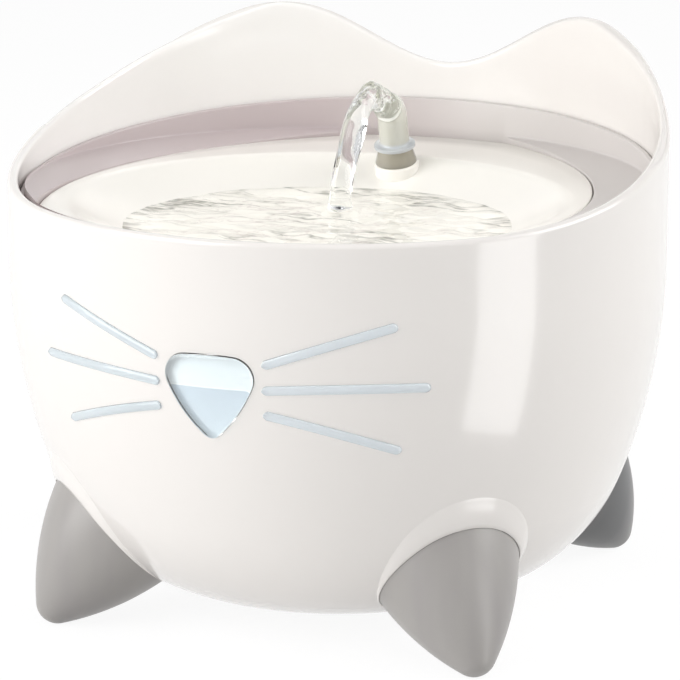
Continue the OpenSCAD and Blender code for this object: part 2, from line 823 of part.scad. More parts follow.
// the upper knuckle lies under the dish's basin, and the lower one over the pump's outlet
high_knuckle_z = socket_z - socket_len - riser_r - 1;
low_knuckle_z = high_knuckle_z - (riser_y - outlet_y) / tan(riser_turn);
module riser_path(r, knuckle_r, extra) {
    translate([0, outlet_y, riser_low_z - extra]) cylinder(h = low_knuckle_z - riser_low_z + extra, r = r);
    translate([0, outlet_y, low_knuckle_z]) {
        sphere(r = knuckle_r);
        rotate([-riser_turn, 0, 0]) cylinder(h = (riser_y - outlet_y) / sin(riser_turn), r = r);
    }
    translate([0, riser_y, high_knuckle_z]) {
        sphere(r = knuckle_r);
        cylinder(h = riser_high_z - high_knuckle_z + extra, r = r);
    }
}
module riser_pipe() {
    color(ice) difference() {
        riser_path(riser_r, riser_r + knuckle_t, 0);
        riser_path(riser_r - riser_t, riser_r - riser_t + knuckle_t / 2, over);
    }
}

shell();
foot(-front_foot_angle, front_foot_inset);  // foot_front_left
foot(front_foot_angle, front_foot_inset);  // foot_front_right
foot(-back_foot_angle, back_foot_inset);  // foot_back_left
foot(back_foot_angle, back_foot_inset);  // foot_back_right
foot_screws();
foot_pads();
nose_window();
nose_gasket();
nose_frame();
whisker(whisker_top, -1);  // whisker_left_top
whisker(whisker_middle, -1);  // whisker_left_middle
whisker(whisker_low, -1);  // whisker_left_low
whisker(whisker_top, 1);  // whisker_right_top
whisker(whisker_middle, 1);  // whisker_right_middle
whisker(whisker_low, 1);  // whisker_right_low
cord_gland();
tray_ring();
drinking_dish();
riser_pipe();
spout();
spout_seal();
filter_housing();
cartridge_frame();
cartridge_foam();
cartridge_carbon();
pump_body();
pump_cover();
flow_regulator();
impeller();
rotor_magnet();
rotor_shaft();
rear_bushing();
suction_cups();
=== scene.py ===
import math

import bmesh
import bpy
import numpy as np
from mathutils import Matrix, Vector


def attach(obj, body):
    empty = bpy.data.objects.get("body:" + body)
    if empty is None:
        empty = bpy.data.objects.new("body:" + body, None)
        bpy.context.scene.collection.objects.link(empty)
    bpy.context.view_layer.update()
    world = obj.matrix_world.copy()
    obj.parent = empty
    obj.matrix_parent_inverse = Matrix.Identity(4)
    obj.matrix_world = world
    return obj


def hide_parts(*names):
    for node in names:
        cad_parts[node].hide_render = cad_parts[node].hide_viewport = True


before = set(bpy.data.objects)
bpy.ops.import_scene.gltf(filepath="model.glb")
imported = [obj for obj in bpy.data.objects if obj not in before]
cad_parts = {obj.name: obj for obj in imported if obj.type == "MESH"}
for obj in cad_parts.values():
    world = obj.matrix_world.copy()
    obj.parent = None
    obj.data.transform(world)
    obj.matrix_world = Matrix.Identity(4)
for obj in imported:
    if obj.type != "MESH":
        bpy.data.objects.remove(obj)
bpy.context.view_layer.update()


# ------------ Camera
# A long lens a little above the rim, looking down on the bowl from the front,
# about 21 degrees round to its right side. Lengths in this file are in
# millimetres, unless a comment says otherwise.
MM = 0.001
scene = bpy.context.scene


def placed(name, data):
    """A new object in the scene."""
    made = bpy.data.objects.new(name, data)
    scene.collection.objects.link(made)
    return made


eye = Vector((446.1, -1138.4, 396.0)) * MM
aim = Vector((0.6, 0.25, 100.9)) * MM
lens = bpy.data.cameras.new("camera")
lens.lens = 170.55
lens.sensor_width = 36
lens.clip_end = 30
camera = placed("camera", lens)
camera.location = eye
camera.rotation_euler = (aim - eye).to_track_quat("-Z", "Y").to_euler()
scene.camera = camera
scene.view_settings.view_transform = "Standard"


# ------------ Studio
# A pale floor that shows as white with the object's soft shadow on it, a pale
# room, broad lamps at the left, the right and above, and one that is only seen
# mirrored in gloss, as the upright streak down the bowl's right side.
class Value:
    """A socket in a finish, so that a pattern can be written as a sum, its slopes per metre."""

    def __init__(self, finish, socket):
        self.finish = finish
        self.socket = socket

    def maths(self, operation, *others):
        return self.finish.node("Math", {"operation": operation}, dict(enumerate((self,) + others)))

    def __add__(self, other):
        return self.maths("ADD", other)

    def __mul__(self, other):
        return self.maths("MULTIPLY", other)

    def __sub__(self, other):
        return self.maths("SUBTRACT", other)

    def __rsub__(self, other):
        return (self * -1) + other

    def held(self):
        """Kept between 0 and 1."""
        return self.maths("MINIMUM", 1.0).maths("MAXIMUM", 0.0)


class Finish:
    """A surface finish as a node tree, with one Principled shader as its skin."""

    def __init__(self, name, world=None, **skin):
        self.material = world or bpy.data.materials.new(name)
        self.material.use_nodes = True
        self.tree = self.material.node_tree
        self.tree.nodes.clear()
        self.end = self.node("OutputWorld" if world else "OutputMaterial", {}, {}, whole=True)
        if skin:
            self.skin = self.node("BsdfPrincipled", {}, skin, whole=True)
            self.show(Value(self, self.skin.outputs[0]))

    def node(self, kind, settings, values, out=0, whole=False):
        """A node of a type, its settings first, then the values or links of its sockets."""
        made = self.tree.nodes.new("ShaderNode" + kind)
        for key, value in settings.items():
            if key == "stops":
                for element, (at, colour) in zip(made.color_ramp.elements, value):
                    element.position = at
                    element.color = (*colour, 1)
            else:
                setattr(made, key, value)
        for key, value in values.items():
            if isinstance(key, str) and "_" in key:
                key = key.replace("_", " ")
            socket = made.inputs[key]
            if isinstance(value, Value):
                self.tree.links.new(value.socket, socket)
            elif isinstance(value, tuple) and socket.type == "RGBA":
                socket.default_value = (*value, 1)
            else:
                socket.default_value = value
        return made if whole else Value(self, made.outputs[out])

    def show(self, shader):
        self.tree.links.new(shader.socket, self.end.inputs[0])

    def place(self):
        """The point on the piece, in metres."""
        return self.node("TexCoord", {}, {}, out="Object")

    def coordinates(self):
        """How far the point on the piece lies to the east, to the north and up, in metres."""
        point = self.node("SeparateXYZ", {}, {"Vector": self.place()}, whole=True)
        return [Value(self, socket) for socket in point.outputs]

    def noise(self, scale, detail=2.0, stretch=(1, 1, 1), rough=0.5):
        """Even random grain, from 0 to 1, with scale in lumps per metre."""
        spot = self.node("Mapping", {}, {"Vector": self.place(), "Scale": stretch})
        return self.node("TexNoise", {}, {"Vector": spot, "Scale": scale, "Detail": detail,
                                          "Roughness": rough})

    def blend(self, share, first, second):
        """One colour turning to another by a share."""
        return self.node("Mix", {"data_type": "RGBA"}, {0: share, 6: first, 7: second}, out=2)

    def bump(self, height, strength, distance):
        return self.node("Bump", {}, {"Strength": strength, "Distance": distance, "Height": height})

    def set(self, socket, value):
        self.tree.links.new(value.socket, self.skin.inputs[socket])


def paint(red, green, blue):
    """A colour picked on screen, as the linear numbers that a shader takes."""
    return tuple(v / 12.92 if v <= 0.04045 else ((v + 0.055) / 1.055) ** 2.4
                 for v in (red / 255, green / 255, blue / 255))


def seen_directly(finish):
    """1 for what the camera, a gloss or a clear piece shows, 0 for the light that falls on things."""
    rays = finish.node("LightPath", {}, {}, whole=True)
    shown = Value(finish, rays.outputs["Is Camera Ray"])
    for kind in ("Is Glossy Ray", "Is Transmission Ray"):
        shown = shown.maths("MAXIMUM", Value(finish, rays.outputs[kind]))
    return shown


FLOOR_SHOWN = 0.86
FLOOR_X, FLOOR_Y = (-7.0, 7.0), (-7.0, 9.0)      # metres
floor_mesh = bpy.data.meshes.new("floor")
corners = [(FLOOR_X[i], FLOOR_Y[j], 0) for i, j in ((0, 0), (1, 0), (1, 1), (0, 1))]
floor_mesh.from_pydata(corners, [], [(0, 1, 2, 3)])
floor = placed("floor", floor_mesh)
floor_finish = Finish("floor_white")
lit = floor_finish.node("BsdfDiffuse", {}, {"Color": paint(228, 228, 228)})
glow = floor_finish.node("Emission", {}, {"Color": (1, 1, 1), "Strength": 1.07})
floor_share = seen_directly(floor_finish) * FLOOR_SHOWN
floor_finish.show(floor_finish.node("MixShader", {}, {0: floor_share, 1: lit, 2: glow}))
floor_mesh.materials.append(floor_finish.material)
floor.visible_glossy = False

scene.world = bpy.data.worlds.new("room")
room = Finish("room", world=scene.world)
view_way = room.node("TexCoord", {}, {}, out="Generated")
view_up = room.node("SeparateXYZ", {}, {"Vector": view_way}, out=2)
wall_tone = room.node("ValToRGB", {"stops": [(0.30, (1, 1, 1)), (0.85, (0.42, 0.42, 0.43))]}, {0: view_up})
room_shown = room.node("Background", {}, {"Color": wall_tone, "Strength": 1.0})
room_light = room.node("Background", {}, {"Color": (1, 1, 1), "Strength": 0.355})
room.show(room.node("MixShader", {}, {0: seen_directly(room), 1: room_light, 2: room_shown}))

LAMPS_AIM = Vector((0, 0, 90)) * MM


def lamp(name, azimuth, distance, height, wide, tall, watts, gloss_only=False):
    """A softbox at a place round the bowl: azimuth 0 is in front, 90 at the right."""
    light = bpy.data.lights.new(name, "AREA")
    light.shape = "RECTANGLE"
    light.size = wide * MM
    light.size_y = tall * MM
    light.energy = watts
    holder = placed(name, light)
    turn = math.radians(azimuth)
    holder.location = Vector((distance * math.sin(turn), -distance * math.cos(turn), height)) * MM
    holder.rotation_euler = (LAMPS_AIM - holder.location).to_track_quat("-Z", "Y").to_euler()
    holder.visible_diffuse = not gloss_only


# azimuth, distance, height, width and height of the light, watts
lamp("lamp_left", -40, 1700, 860, 1500, 1600, 29)
lamp("lamp_streak", 78, 1300, -150, 500, 1000, 5.6, gloss_only=True)
lamp("lamp_right", 106, 1450, 1050, 1000, 1100, 17)
lamp("lamp_above", 40, 600, 1900, 1200, 900, 3)


# ------------ Bowl shell
# The outer bowl, injection moulded in glossy white ABS. It is the reservoir,
# its rim climbs into two ears at the back, and it stands on four screwed feet.
SHELL_R = 127.0
WALL = 4.0
BASE_Z = 8.0
FLOOR_Z = 12.0
SIDE_TOP_Z = 136.0
SIDE_R = 230.0
JOIN_Z = 51.0            # where the side's arc runs into the corner's
JOIN_TURN = math.asin((SIDE_TOP_Z - JOIN_Z) / SIDE_R)
CORNER_R = (JOIN_Z - BASE_Z) / (1 - math.sin(JOIN_TURN))
SIDE_MID = np.array([SHELL_R - SIDE_R, SIDE_TOP_Z])
CORNER_MID = SIDE_MID + (SIDE_R - CORNER_R) * np.array([math.cos(JOIN_TURN), -math.sin(JOIN_TURN)])
FRONT_RIM_Z = 165.4
EAR_TIP_Z = 217.2
BACK_DIP_Z = 192.7
EAR_X = 68.0
EAR_FALL = 90.0          # how slowly an ear falls away past its tip
CLIMB_Y = -95.0          # where the rim begins to climb
CLIMB_CURVE = 1.85
CLIMB_PEAK = 1.033       # the climb aims over the ear's tip, which cuts it off
RIM_SOFT = 1.2
RIM_ROUND = 1.8
SEAT_Z = 142.2           # the ledge that the tray rests on
SEAT_R = 119.5
SEAT_T = 1.0
SEAT_ROOT = 4.5


def arc(mid, radius, start, end, steps):
    """Points on an arc, in degrees, both ends included."""
    turns = np.radians(np.linspace(start, end, steps + 1))
    return np.array(mid) + radius * np.stack([np.cos(turns), np.sin(turns)], 1)


def bowl_line(grow, low, steps=26):
    """Half section of the bowl, from its bottom's middle up to where the side is upright."""
    turn = math.degrees(JOIN_TURN)
    corner = arc(CORNER_MID, CORNER_R + grow, -90, -turn, steps)
    side = arc(SIDE_MID, SIDE_R + grow, -turn, 0, steps)[1:]
    flat = np.stack([np.linspace(0, CORNER_MID[0], 6)[:-1], np.full(5, low)], 1)
    return np.concatenate([flat, corner, side]).tolist()


def bowl_gap(points):
    """How far points lie outside the bowl's outer face, and the way straight out of it."""
    across = np.hypot(points[:, 0], points[:, 1])
    level = points[:, 2]
    section = np.stack([across, level], 1)
    from_side, from_corner = section - SIDE_MID, section - CORNER_MID
    on_side = np.arctan2(from_side[:, 1], from_side[:, 0]) > -JOIN_TURN
    gap = np.where(on_side, np.linalg.norm(from_side, axis=1) - SIDE_R,
                   np.linalg.norm(from_corner, axis=1) - CORNER_R)
    out = np.where(on_side[:, None], from_side, from_corner)
    upright = level > SIDE_TOP_Z
    under = ~upright & ~on_side & (across < CORNER_MID[0])
    for there, gap_there, way in ((upright, across - SHELL_R, (1.0, 0.0)),
                                  (under, BASE_Z - level, (0.0, -1.0))):
        gap = np.where(there, gap_there, gap)
        out = np.where(there[:, None], way, out)
    out = out / np.linalg.norm(out, axis=1)[:, None]
    flat = np.where(across[:, None] > 1e-6, points[:, :2] / np.maximum(across, 1e-6)[:, None], 0)
    return gap, np.concatenate([flat * out[:, :1], out[:, 1:]], 1)


def lower_of(first, second, soft):
    """The lower of two heights, with the corner where they meet rounded off."""
    share = np.clip(0.5 + 0.5 * (first - second) / soft, 0, 1)
    return first * (1 - share) + second * share - soft * share * (1 - share)


def rim_height(x, y):
    """The rim's height: a climb along the sides, and two broad ears at the back."""
    ear_y = math.sqrt((SHELL_R - WALL / 2) ** 2 - EAR_X ** 2)
    climb = np.clip((y - CLIMB_Y) / (ear_y - CLIMB_Y), 0, None) ** CLIMB_CURVE
    side = FRONT_RIM_Z + (EAR_TIP_Z - FRONT_RIM_Z) * CLIMB_PEAK * climb
    between = BACK_DIP_Z + (EAR_TIP_Z - BACK_DIP_Z) * (1 - np.cos(np.pi * x / EAR_X)) / 2
    outside = EAR_TIP_Z - (np.abs(x) - EAR_X) ** 2 / EAR_FALL
    return lower_of(np.where(np.abs(x) < EAR_X, between, outside), side, RIM_SOFT)


def compass(count):
    """Ways straight out from a middle, evenly all round, the first to the front."""
    around = np.linspace(0, 2 * np.pi, count, endpoint=False)
    return np.stack([np.sin(around), -np.cos(around)], 1)


def rings_of(line, ways, middle=(0, 0)):
    """Rings of points from a half section's radii and heights, which may change on the way round."""
    rings = []
    for sizes in line:
        radius, level = (np.broadcast_to(size, len(ways))[:, None] for size in sizes)
        rings.append(np.concatenate([ways * radius + middle, level], 1))
    return rings


def rounded(radius, level, size, steps, inwards=1, down=1):
    """A corner rounded off, from its upright side to its level one."""
    return [(radius - inwards * size * (1 - math.cos(turn)), level - down * size * (1 - math.sin(turn)))
            for turn in np.radians(np.linspace(0, 90, steps + 1))]


def skin(rings, closed=False):
    """A shape's points and faces, from ring to ring; closed joins the last ring to the first."""
    columns = len(rings[0])
    faces = []
    for row in range(len(rings) if closed else len(rings) - 1):
        below = row * columns
        above = (row + 1) % len(rings) * columns
        for column in range(columns):
            after = (column + 1) % columns
            faces.append((below + column, below + after, above + after, above + column))
    return np.concatenate(rings), faces


def joined(shapes):
    """The points and faces of several shapes as one shape."""
    points, faces = [], []
    for shape_points, shape_faces in shapes:
        base = len(points)
        points.extend(shape_points)
        faces.extend(tuple(base + i for i in face) for face in shape_faces)
    return points, faces


def mesh_piece(name, shape, sharp=None, merge=0.002):
    """A piece from a shape, its doubles merged, its faces out and its edges sharp past an angle."""
    points, faces = shape
    mesh = bpy.data.meshes.new(name)
    mesh.from_pydata((np.asarray(points) * MM).tolist(), [], faces)
    work = bmesh.new()
    work.from_mesh(mesh)
    bmesh.ops.remove_doubles(work, verts=work.verts, dist=merge * MM)
    bmesh.ops.recalc_face_normals(work, faces=work.faces)
    work.to_mesh(mesh)
    work.free()
    mesh.shade_smooth()
    if sharp:
        mesh.set_sharp_from_angle(angle=math.radians(sharp))
    return placed(name, mesh)


def fit(piece, body, slot, finish, *nodes):
    """Gives a piece its finish and lets it ride on a body in place of CAD nodes; the slot is not used."""
    piece.data.materials.clear()
    piece.data.materials.append(finish.material)
    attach(piece, body)
    if nodes:
        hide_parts(*nodes)


def moulded(name, colour, roughness, grain=0.02, mottle=0.03, coat=0.0):
    """Moulded plastic: a faint cloudiness in its colour and gloss, and a very fine skin."""
    finish = Finish(name, Coat_Weight=coat, Coat_Roughness=0.05)
    cloud = finish.noise(14, 3)
    darker = tuple(v * (1 - mottle) for v in colour)
    finish.set("Base Color", finish.blend(cloud, darker, colour))
    finish.set("Roughness", (cloud - 0.5) * 0.06 + roughness)
    finish.set("Normal", finish.bump(finish.noise(900, 2), 0.3, grain * MM))
    return finish


INNER_R = SHELL_R - WALL
shell_ways = compass(336)
outer_top = rim_height(*(SHELL_R * shell_ways).T)
inner_top = rim_height(*(INNER_R * shell_ways).T)
shell_line = bowl_line(0, BASE_Z)
for share in np.linspace(0, 1, 26)[1:]:
    shell_line.append((SHELL_R, SIDE_TOP_Z + (outer_top - RIM_ROUND - SIDE_TOP_Z) * share))
shell_line += rounded(SHELL_R, outer_top, RIM_ROUND, 6)[1:]
shell_line += rounded(INNER_R, inner_top, RIM_ROUND, 6, inwards=-1)[::-1]
for share in np.linspace(0, 1, 20)[1:]:
    shell_line.append((INNER_R, (inner_top - RIM_ROUND) * (1 - share) + SEAT_Z * share))
shell_line += [(SEAT_R, SEAT_Z), (SEAT_R, SEAT_Z - SEAT_T), (INNER_R, SEAT_Z - SEAT_ROOT)]
shell_line += bowl_line(-WALL, FLOOR_Z)[::-1]
shell = mesh_piece("bowl_shell", skin(rings_of(shell_line, shell_ways)))

# the nose's outline, shared by the hole and the window; x to the right, z up
NOSE_Z = 115.8
NOSE_X = 9.0
NOSE_H = 19.4
SHOULDER_R = 8.0
TIP_R = 3.8
SIDE_TRIM = 14           # degrees of each corner's arc that the side's bow takes
TOP_TRIM = 4             # and that the top's bow takes


def bow(start, end, rise, steps):
    """A shallow bow between two points, ends left out."""
    start, end = np.array(start), np.array(end)
    along = end - start
    normal = np.array([along[1], -along[0]]) / np.linalg.norm(along)
    share = np.linspace(0, 1, steps + 1)[1:-1, None]
    return start + along * share + normal * 4 * rise * share * (1 - share)


def nose_line(grow, fine=2):
    """The nose's outline grown outwards: three rounded corners with a bow between each two."""
    slant = -math.degrees(math.atan2(NOSE_X, NOSE_H)
                          + math.asin((SHOULDER_R - TIP_R) / math.hypot(NOSE_X, NOSE_H)))
    right = arc((NOSE_X, NOSE_Z), SHOULDER_R + grow, slant + SIDE_TRIM, 90 - TOP_TRIM, 10 * fine)
    left = arc((-NOSE_X, NOSE_Z), SHOULDER_R + grow, 90 + TOP_TRIM, 180 - SIDE_TRIM - slant, 10 * fine)
    tip = arc((0, NOSE_Z - NOSE_H), TIP_R + grow, 180 + SIDE_TRIM - slant, 360 - SIDE_TRIM + slant, 8 * fine)
    return np.concatenate([right, bow(right[-1], left[0], 0.35, 6 * fine), left,
                           bow(left[-1], tip[0], 1.3, 8 * fine), tip, bow(tip[-1], right[0], 1.3, 8 * fine)])


def front_face(outline, grow):
    """Puts an x-z outline on the bowl's front, a distance out from its outer face."""
    level = outline[:, 1]
    low = np.minimum(level - SIDE_TOP_Z, 0)
    radius = SIDE_MID[0] + np.sqrt((SIDE_R + grow) ** 2 - low ** 2)
    return np.stack([outline[:, 0], -np.sqrt(radius ** 2 - outline[:, 0] ** 2), level], 1)


# each whisker runs from its inner to its outer end, x and z, and bows up by the last number
WHISKERS = {"top": ((21.8, 121.8), (63.6, 135.4), 0.3),
            "middle": ((21.5, 112.1), (73.2, 113.0), 0.7),
            "low": ((21.5, 102.6), (63.2, 89.8), 1.0)}
WHISKER_W = 3.3
GROOVE = 1.0


def strip(side, whisker, section, widen=0.0, steps=26):
    """A strip on the bowl, as long and as bowed as a whisker; section is share across and distance out."""
    start, end = (np.array([side * p[0], p[1]]) for p in whisker[:2])
    half = WHISKER_W / 2
    length = np.linalg.norm(end - start)
    along = (end - start) / length
    across = np.array([-along[1], along[0]]) * side
    turns = np.linspace(-math.pi / 2, 0, 9)
    ends = half * (1 + np.sin(turns))
    reach = np.concatenate([ends - half, np.linspace(0, length, steps)[1:-1], length + half - ends[::-1]])
    width = half * np.concatenate([np.cos(turns), np.ones(steps - 2), np.cos(turns[::-1])])
    share = np.clip(reach / length, 0, 1)
    middle = start + along * reach[:, None] + across * (4 * whisker[2] * share * (1 - share))[:, None]
    width = width + widen * (width > 0.01)
    lines = [front_face(middle + across * (width * share)[:, None], out) for share, out in section]
    return skin(np.stack(lines, 1))


def settle(piece):
    """Makes a piece's modifiers part of its mesh."""
    graph = bpy.context.evaluated_depsgraph_get()
    mesh = bpy.data.meshes.new_from_object(piece.evaluated_get(graph))
    piece.modifiers.clear()
    piece.data = mesh


def cut_away(piece, tool):
    """Takes a tool's form out of a piece, and puts the tool away."""
    cut = piece.modifiers.new("openings", "BOOLEAN")
    cut.operation = "DIFFERENCE"
    cut.solver = "EXACT"
    cut.object = tool
    settle(piece)
    bpy.data.objects.remove(tool)
    piece.data.shade_smooth()


# everything that is cut from the shell, as one tool: the nose hole, six grooves, the gland's bore
HOLE_ROOM = 0.15
HOLE_Y = (-SHELL_R - 9, -SHELL_R + 14)
GROOVE_ROOM = 0.12
TOOL_OUT = 2.5           # how far a groove's tool reaches out of the bowl's face
GLAND_Z = 128.0
GLAND_R = 4.1
GLAND_HEAD_R = 6.4
GLAND_Y = (120.0, 125.1, 130.0)      # from inside the bowl to the head's seat, and out of the back
hole = nose_line(HOLE_ROOM)
hole_points, hole_faces = skin([np.insert(hole, 1, y, axis=1) for y in HOLE_Y])
hole_faces += [tuple(range(len(hole))), tuple(range(2 * len(hole) - 1, len(hole) - 1, -1))]
cutters = [(hole_points, hole_faces)]
groove_section = [(-1, TOOL_OUT), (1, TOOL_OUT), (1, -GROOVE), (-1, -GROOVE)]
for side in (-1, 1):
    cutters += [strip(side, whisker, groove_section, GROOVE_ROOM) for whisker in WHISKERS.values()]
gland_line = [(0.01, GLAND_Y[0]), (GLAND_R, GLAND_Y[0]), (GLAND_R, GLAND_Y[1]),
              (GLAND_HEAD_R, GLAND_Y[1]), (GLAND_HEAD_R, GLAND_Y[2]), (0.01, GLAND_Y[2])]
cutters.append(skin([ring[:, [0, 2, 1]] + (0, 0, GLAND_Z) for ring in rings_of(gland_line, compass(48))]))
cut_away(shell, mesh_piece("shell_cutter", joined(cutters), merge=0.03))

FACE_NEAR = 0.03         # a point this near to the bowl's face counts as on it
LEDGE_LOW_Z = 139.5      # the seat's ledge and the rim stand above this height


def true_normals(piece):
    """Points the shading of the bowl's cut faces straight out of the bowl, so that no seam of a cut shows."""
    mesh = piece.data
    faces = mesh.polygons
    at = [loop.vertex_index for loop in mesh.loops]
    straight = np.repeat([face.normal for face in faces], [face.loop_total for face in faces], axis=0)
    smooth = np.array([vertex.normal for vertex in mesh.vertices])[at]
    spots = np.array([vertex.co for vertex in mesh.vertices])[at] / MM
    level = spots[:, 2]
    gap, out = bowl_gap(spots)
    facing = (straight * out).sum(1)
    on_top = (level > LEDGE_LOW_Z) & ((level > SEAT_Z + 1) | (gap > -1))
    on_outside = (np.abs(gap) < FACE_NEAR) & (facing > 0.9)
    on_inside = (np.abs(gap + WALL) < FACE_NEAR) & (facing < -0.9)
    there = [corners[:, None] for corners in (on_top, on_outside, on_inside)]
    mesh.normals_split_custom_set(np.select(there, [smooth, out, -out], straight).tolist())


true_normals(shell)
shell_white = moulded("glossy_white", paint(238, 234, 230), 0.16, grain=0.004, coat=0.3)
east, north, up = shell_white.coordinates()
# painted light: the inner faces of the ears, most at the left, are painted lighter than the rest of the bowl
inside = ((SHELL_R - WALL / 2) * MM - (east * east + north * north).maths("SQRT")) * 900
left_ear_painted_light = inside.held() * ((up - SIDE_TOP_Z * MM) * 200).held() * (0.45 - east * 9).held()
shell_white.set("Base Color", shell_white.blend(left_ear_painted_light, paint(238, 234, 230), paint(250, 248, 245)))
fit(shell, "base", "shell_white", shell_white, "shell")

# the lip that the bowl grows round the top of each foot
FOOT_TILT = math.radians(40.9)
FOOT_LEN = 63.7
FOOT_MAX_R = 32.4
FOOT_ARC = 105.0
BALL_R = FOOT_ARC - math.hypot(FOOT_ARC - FOOT_MAX_R, FOOT_LEN)
BALL_Z = BALL_R - 0.3
BALL_SHARE = 0.12        # the part of a foot's outline that its ball-shaped tip takes
FOOT_TURN = math.atan2(FOOT_LEN, FOOT_ARC - FOOT_MAX_R)
# each foot's place round the bowl, in degrees, and how far in from its side
FEET = {"front_left": (-46.6, 10.9), "front_right": (46.6, 10.9),
        "back_left": (-136.9, 2.0), "back_right": (136.9, 2.0)}


def foot_points(turn, reach, grow, angle, inset):
    """Points on a foot: turn goes round its axis, reach along its outline from 0 at the tip to 1."""
    on_ball = reach < BALL_SHARE
    ball_turn = -np.pi / 2 + (np.pi / 2 - FOOT_TURN) * np.clip(reach / BALL_SHARE, 0, 1)
    side_turn = -FOOT_TURN * (1 - np.clip((reach - BALL_SHARE) / (1 - BALL_SHARE), 0, 1.3))
    radius = np.where(on_ball, (BALL_R + grow) * np.cos(ball_turn),
                      FOOT_MAX_R - FOOT_ARC + (FOOT_ARC + grow) * np.cos(side_turn))
    height = np.where(on_ball, (BALL_R + grow) * np.sin(ball_turn),
                      FOOT_LEN + (FOOT_ARC + grow) * np.sin(side_turn))
    x, y, z = radius * np.cos(turn), radius * np.sin(turn), height
    y, z = (y * math.cos(FOOT_TILT) + z * math.sin(FOOT_TILT) + inset - SHELL_R,
            z * math.cos(FOOT_TILT) - y * math.sin(FOOT_TILT) + BALL_Z)
    a = math.radians(angle)
    return np.stack([x * math.cos(a) - y * math.sin(a), x * math.sin(a) + y * math.cos(a), z], -1)


def meeting(turn, grow, height, angle, inset):
    """How far along its outline a foot's form, grown outwards, meets the bowl at a height off its face."""
    low, high = np.full(len(turn), 0.05), np.full(len(turn), 1.28)
    for _ in range(40):
        middle = (low + high) / 2
        gap = bowl_gap(foot_points(turn, middle, grow, angle, inset))[0]
        outside = gap > height
        low, high = np.where(outside, middle, low), np.where(outside, high, middle)
    return (low + high) / 2


LIP_H = 1.5
LIP_W = 8.0
LIP_SINK = 0.02
foot_turns = np.linspace(0, 2 * np.pi, 144, endpoint=False)
upper = (1 - np.sin(foot_turns)) / 2
lip_height = 0.2 + (LIP_H - 0.2) * np.clip((upper - 0.2) / 0.6, 0, 1)
lip_width = 0.4 + (LIP_W - 0.4) * upper ** 3.2
# out from the foot, share of the lip's height, share of its width
lip_section = [(0.2, -1.0, 0), (0.2, 0.8, 0), (0.25, 0.94, 0), (0.4, 1.0, 0), (0.4, 0.97, 0.16),
               (0.35, 0.88, 0.32), (0.3, 0.73, 0.48), (0.2, 0.53, 0.64), (0.1, 0.32, 0.8),
               (0, 0.13, 0.94), (0, 0.02, 1.06), (0, -0.3, 1.16)]
lip_shapes = []
for foot_place in FEET.values():
    lip_rings = []
    for aside, rise, share in lip_section:
        grow = aside + lip_width * share
        reach = meeting(foot_turns, grow, lip_height * rise - LIP_SINK, *foot_place)
        lip_rings.append(foot_points(foot_turns, reach, grow, *foot_place))
    lip_shapes.append(skin(lip_rings))
lips = mesh_piece("bowl_lips", joined(lip_shapes), sharp=50)
fit(lips, "base", "shell_white", shell_white)


# ------------ Feet
# Four pointed feet moulded in satin warm grey, each held to a boss under the
# bowl by one screw, and each on a small grey rubber tip.
foot_grey = moulded("satin_grey", paint(160, 156, 155), 0.36, grain=0.01)
streak = foot_grey.noise(22, 2, stretch=(3, 3, 0.5))
warm = foot_grey.blend(streak, paint(152, 148, 148), paint(172, 169, 164))
# painted shade: the back feet are painted darker on their front side
SHELTER = (30.0, 106.0)  # the back feet are shaded on their front side, between these places
foot_north = foot_grey.coordinates()[1]
past_start, before_end = foot_north - SHELTER[0] * MM, SHELTER[1] * MM - foot_north
foot_painted_shade = (past_start * 30).held() * (before_end * 33).held() * 0.85
foot_grey.set("Base Color", foot_grey.blend(foot_painted_shade, warm, paint(90, 92, 94)))
FOOT_SEAT = 0.12
foot_shares = np.concatenate([np.linspace(0, BALL_SHARE, 10)[:-1], np.linspace(BALL_SHARE, 1, 56)])
for name, foot_place in FEET.items():
    reach = meeting(foot_turns, 0, FOOT_SEAT, *foot_place)
    foot_rings = [foot_points(foot_turns, reach * share, 0, *foot_place) for share in foot_shares]
    seam = foot_rings[-1]
    middle = seam.mean(0)
    for share in (0.9, 0.75, 0.55, 0.35, 0.15, 0.0):
        closing = middle + (seam - middle) * share
        for _ in range(4):
            gap, out = bowl_gap(closing)
            closing = closing - out * (gap - FOOT_SEAT)[:, None]
        foot_rings.append(closing)
    points, faces = skin(foot_rings)
    points[:, 2] = np.maximum(points[:, 2], 0)
    foot = mesh_piece("foot_" + name + "_form", (points, faces), sharp=50)
    fit(foot, "base", "foot_grey", foot_grey, "foot_" + name)


def dress(finish, *nodes):
    """Gives CAD nodes their finish."""
    for node in nodes:
        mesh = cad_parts[node].data
        mesh.materials.clear()
        mesh.materials.append(finish.material)


dress(moulded("soft_grey_rubber", paint(150, 147, 146), 0.55, grain=0.03, mottle=0.08), "foot_pads")
steel = Finish("turned_steel", Base_Color=(0.62, 0.62, 0.63), Metallic=1.0)
steel.set("Roughness", steel.noise(60, 2, stretch=(1, 1, 14)) * 0.2 + 0.2)
dress(steel, "foot_screws", "rotor_shaft")


# ------------ Nose window
# A thick clear block with a rounded edge, clamped from inside the bowl by a
# frame and a black gasket. The reservoir's water stands half way up behind it.
def see_through(name, passing, **skin_values):
    """A clear finish that lets the lamps' light pass unbent, so that what lies behind isn't left dark."""
    finish = Finish(name, **skin_values)
    rays = finish.node("LightPath", {}, {}, whole=True)
    unbent = finish.node("BsdfTransparent", {}, {"Color": passing})
    bent = Value(finish, finish.skin.outputs[0])
    share = Value(finish, rays.outputs["Is Shadow Ray"]) * 0.9
    finish.show(finish.node("MixShader", {}, {0: share, 1: bent, 2: unbent}))
    return finish


def drawn_in(outline, middle, shares, out):
    """Rings across the bowl's front: an outline drawn in to its middle by shares, a distance out."""
    return [front_face(middle + (outline - middle) * share, out) for share in shares]


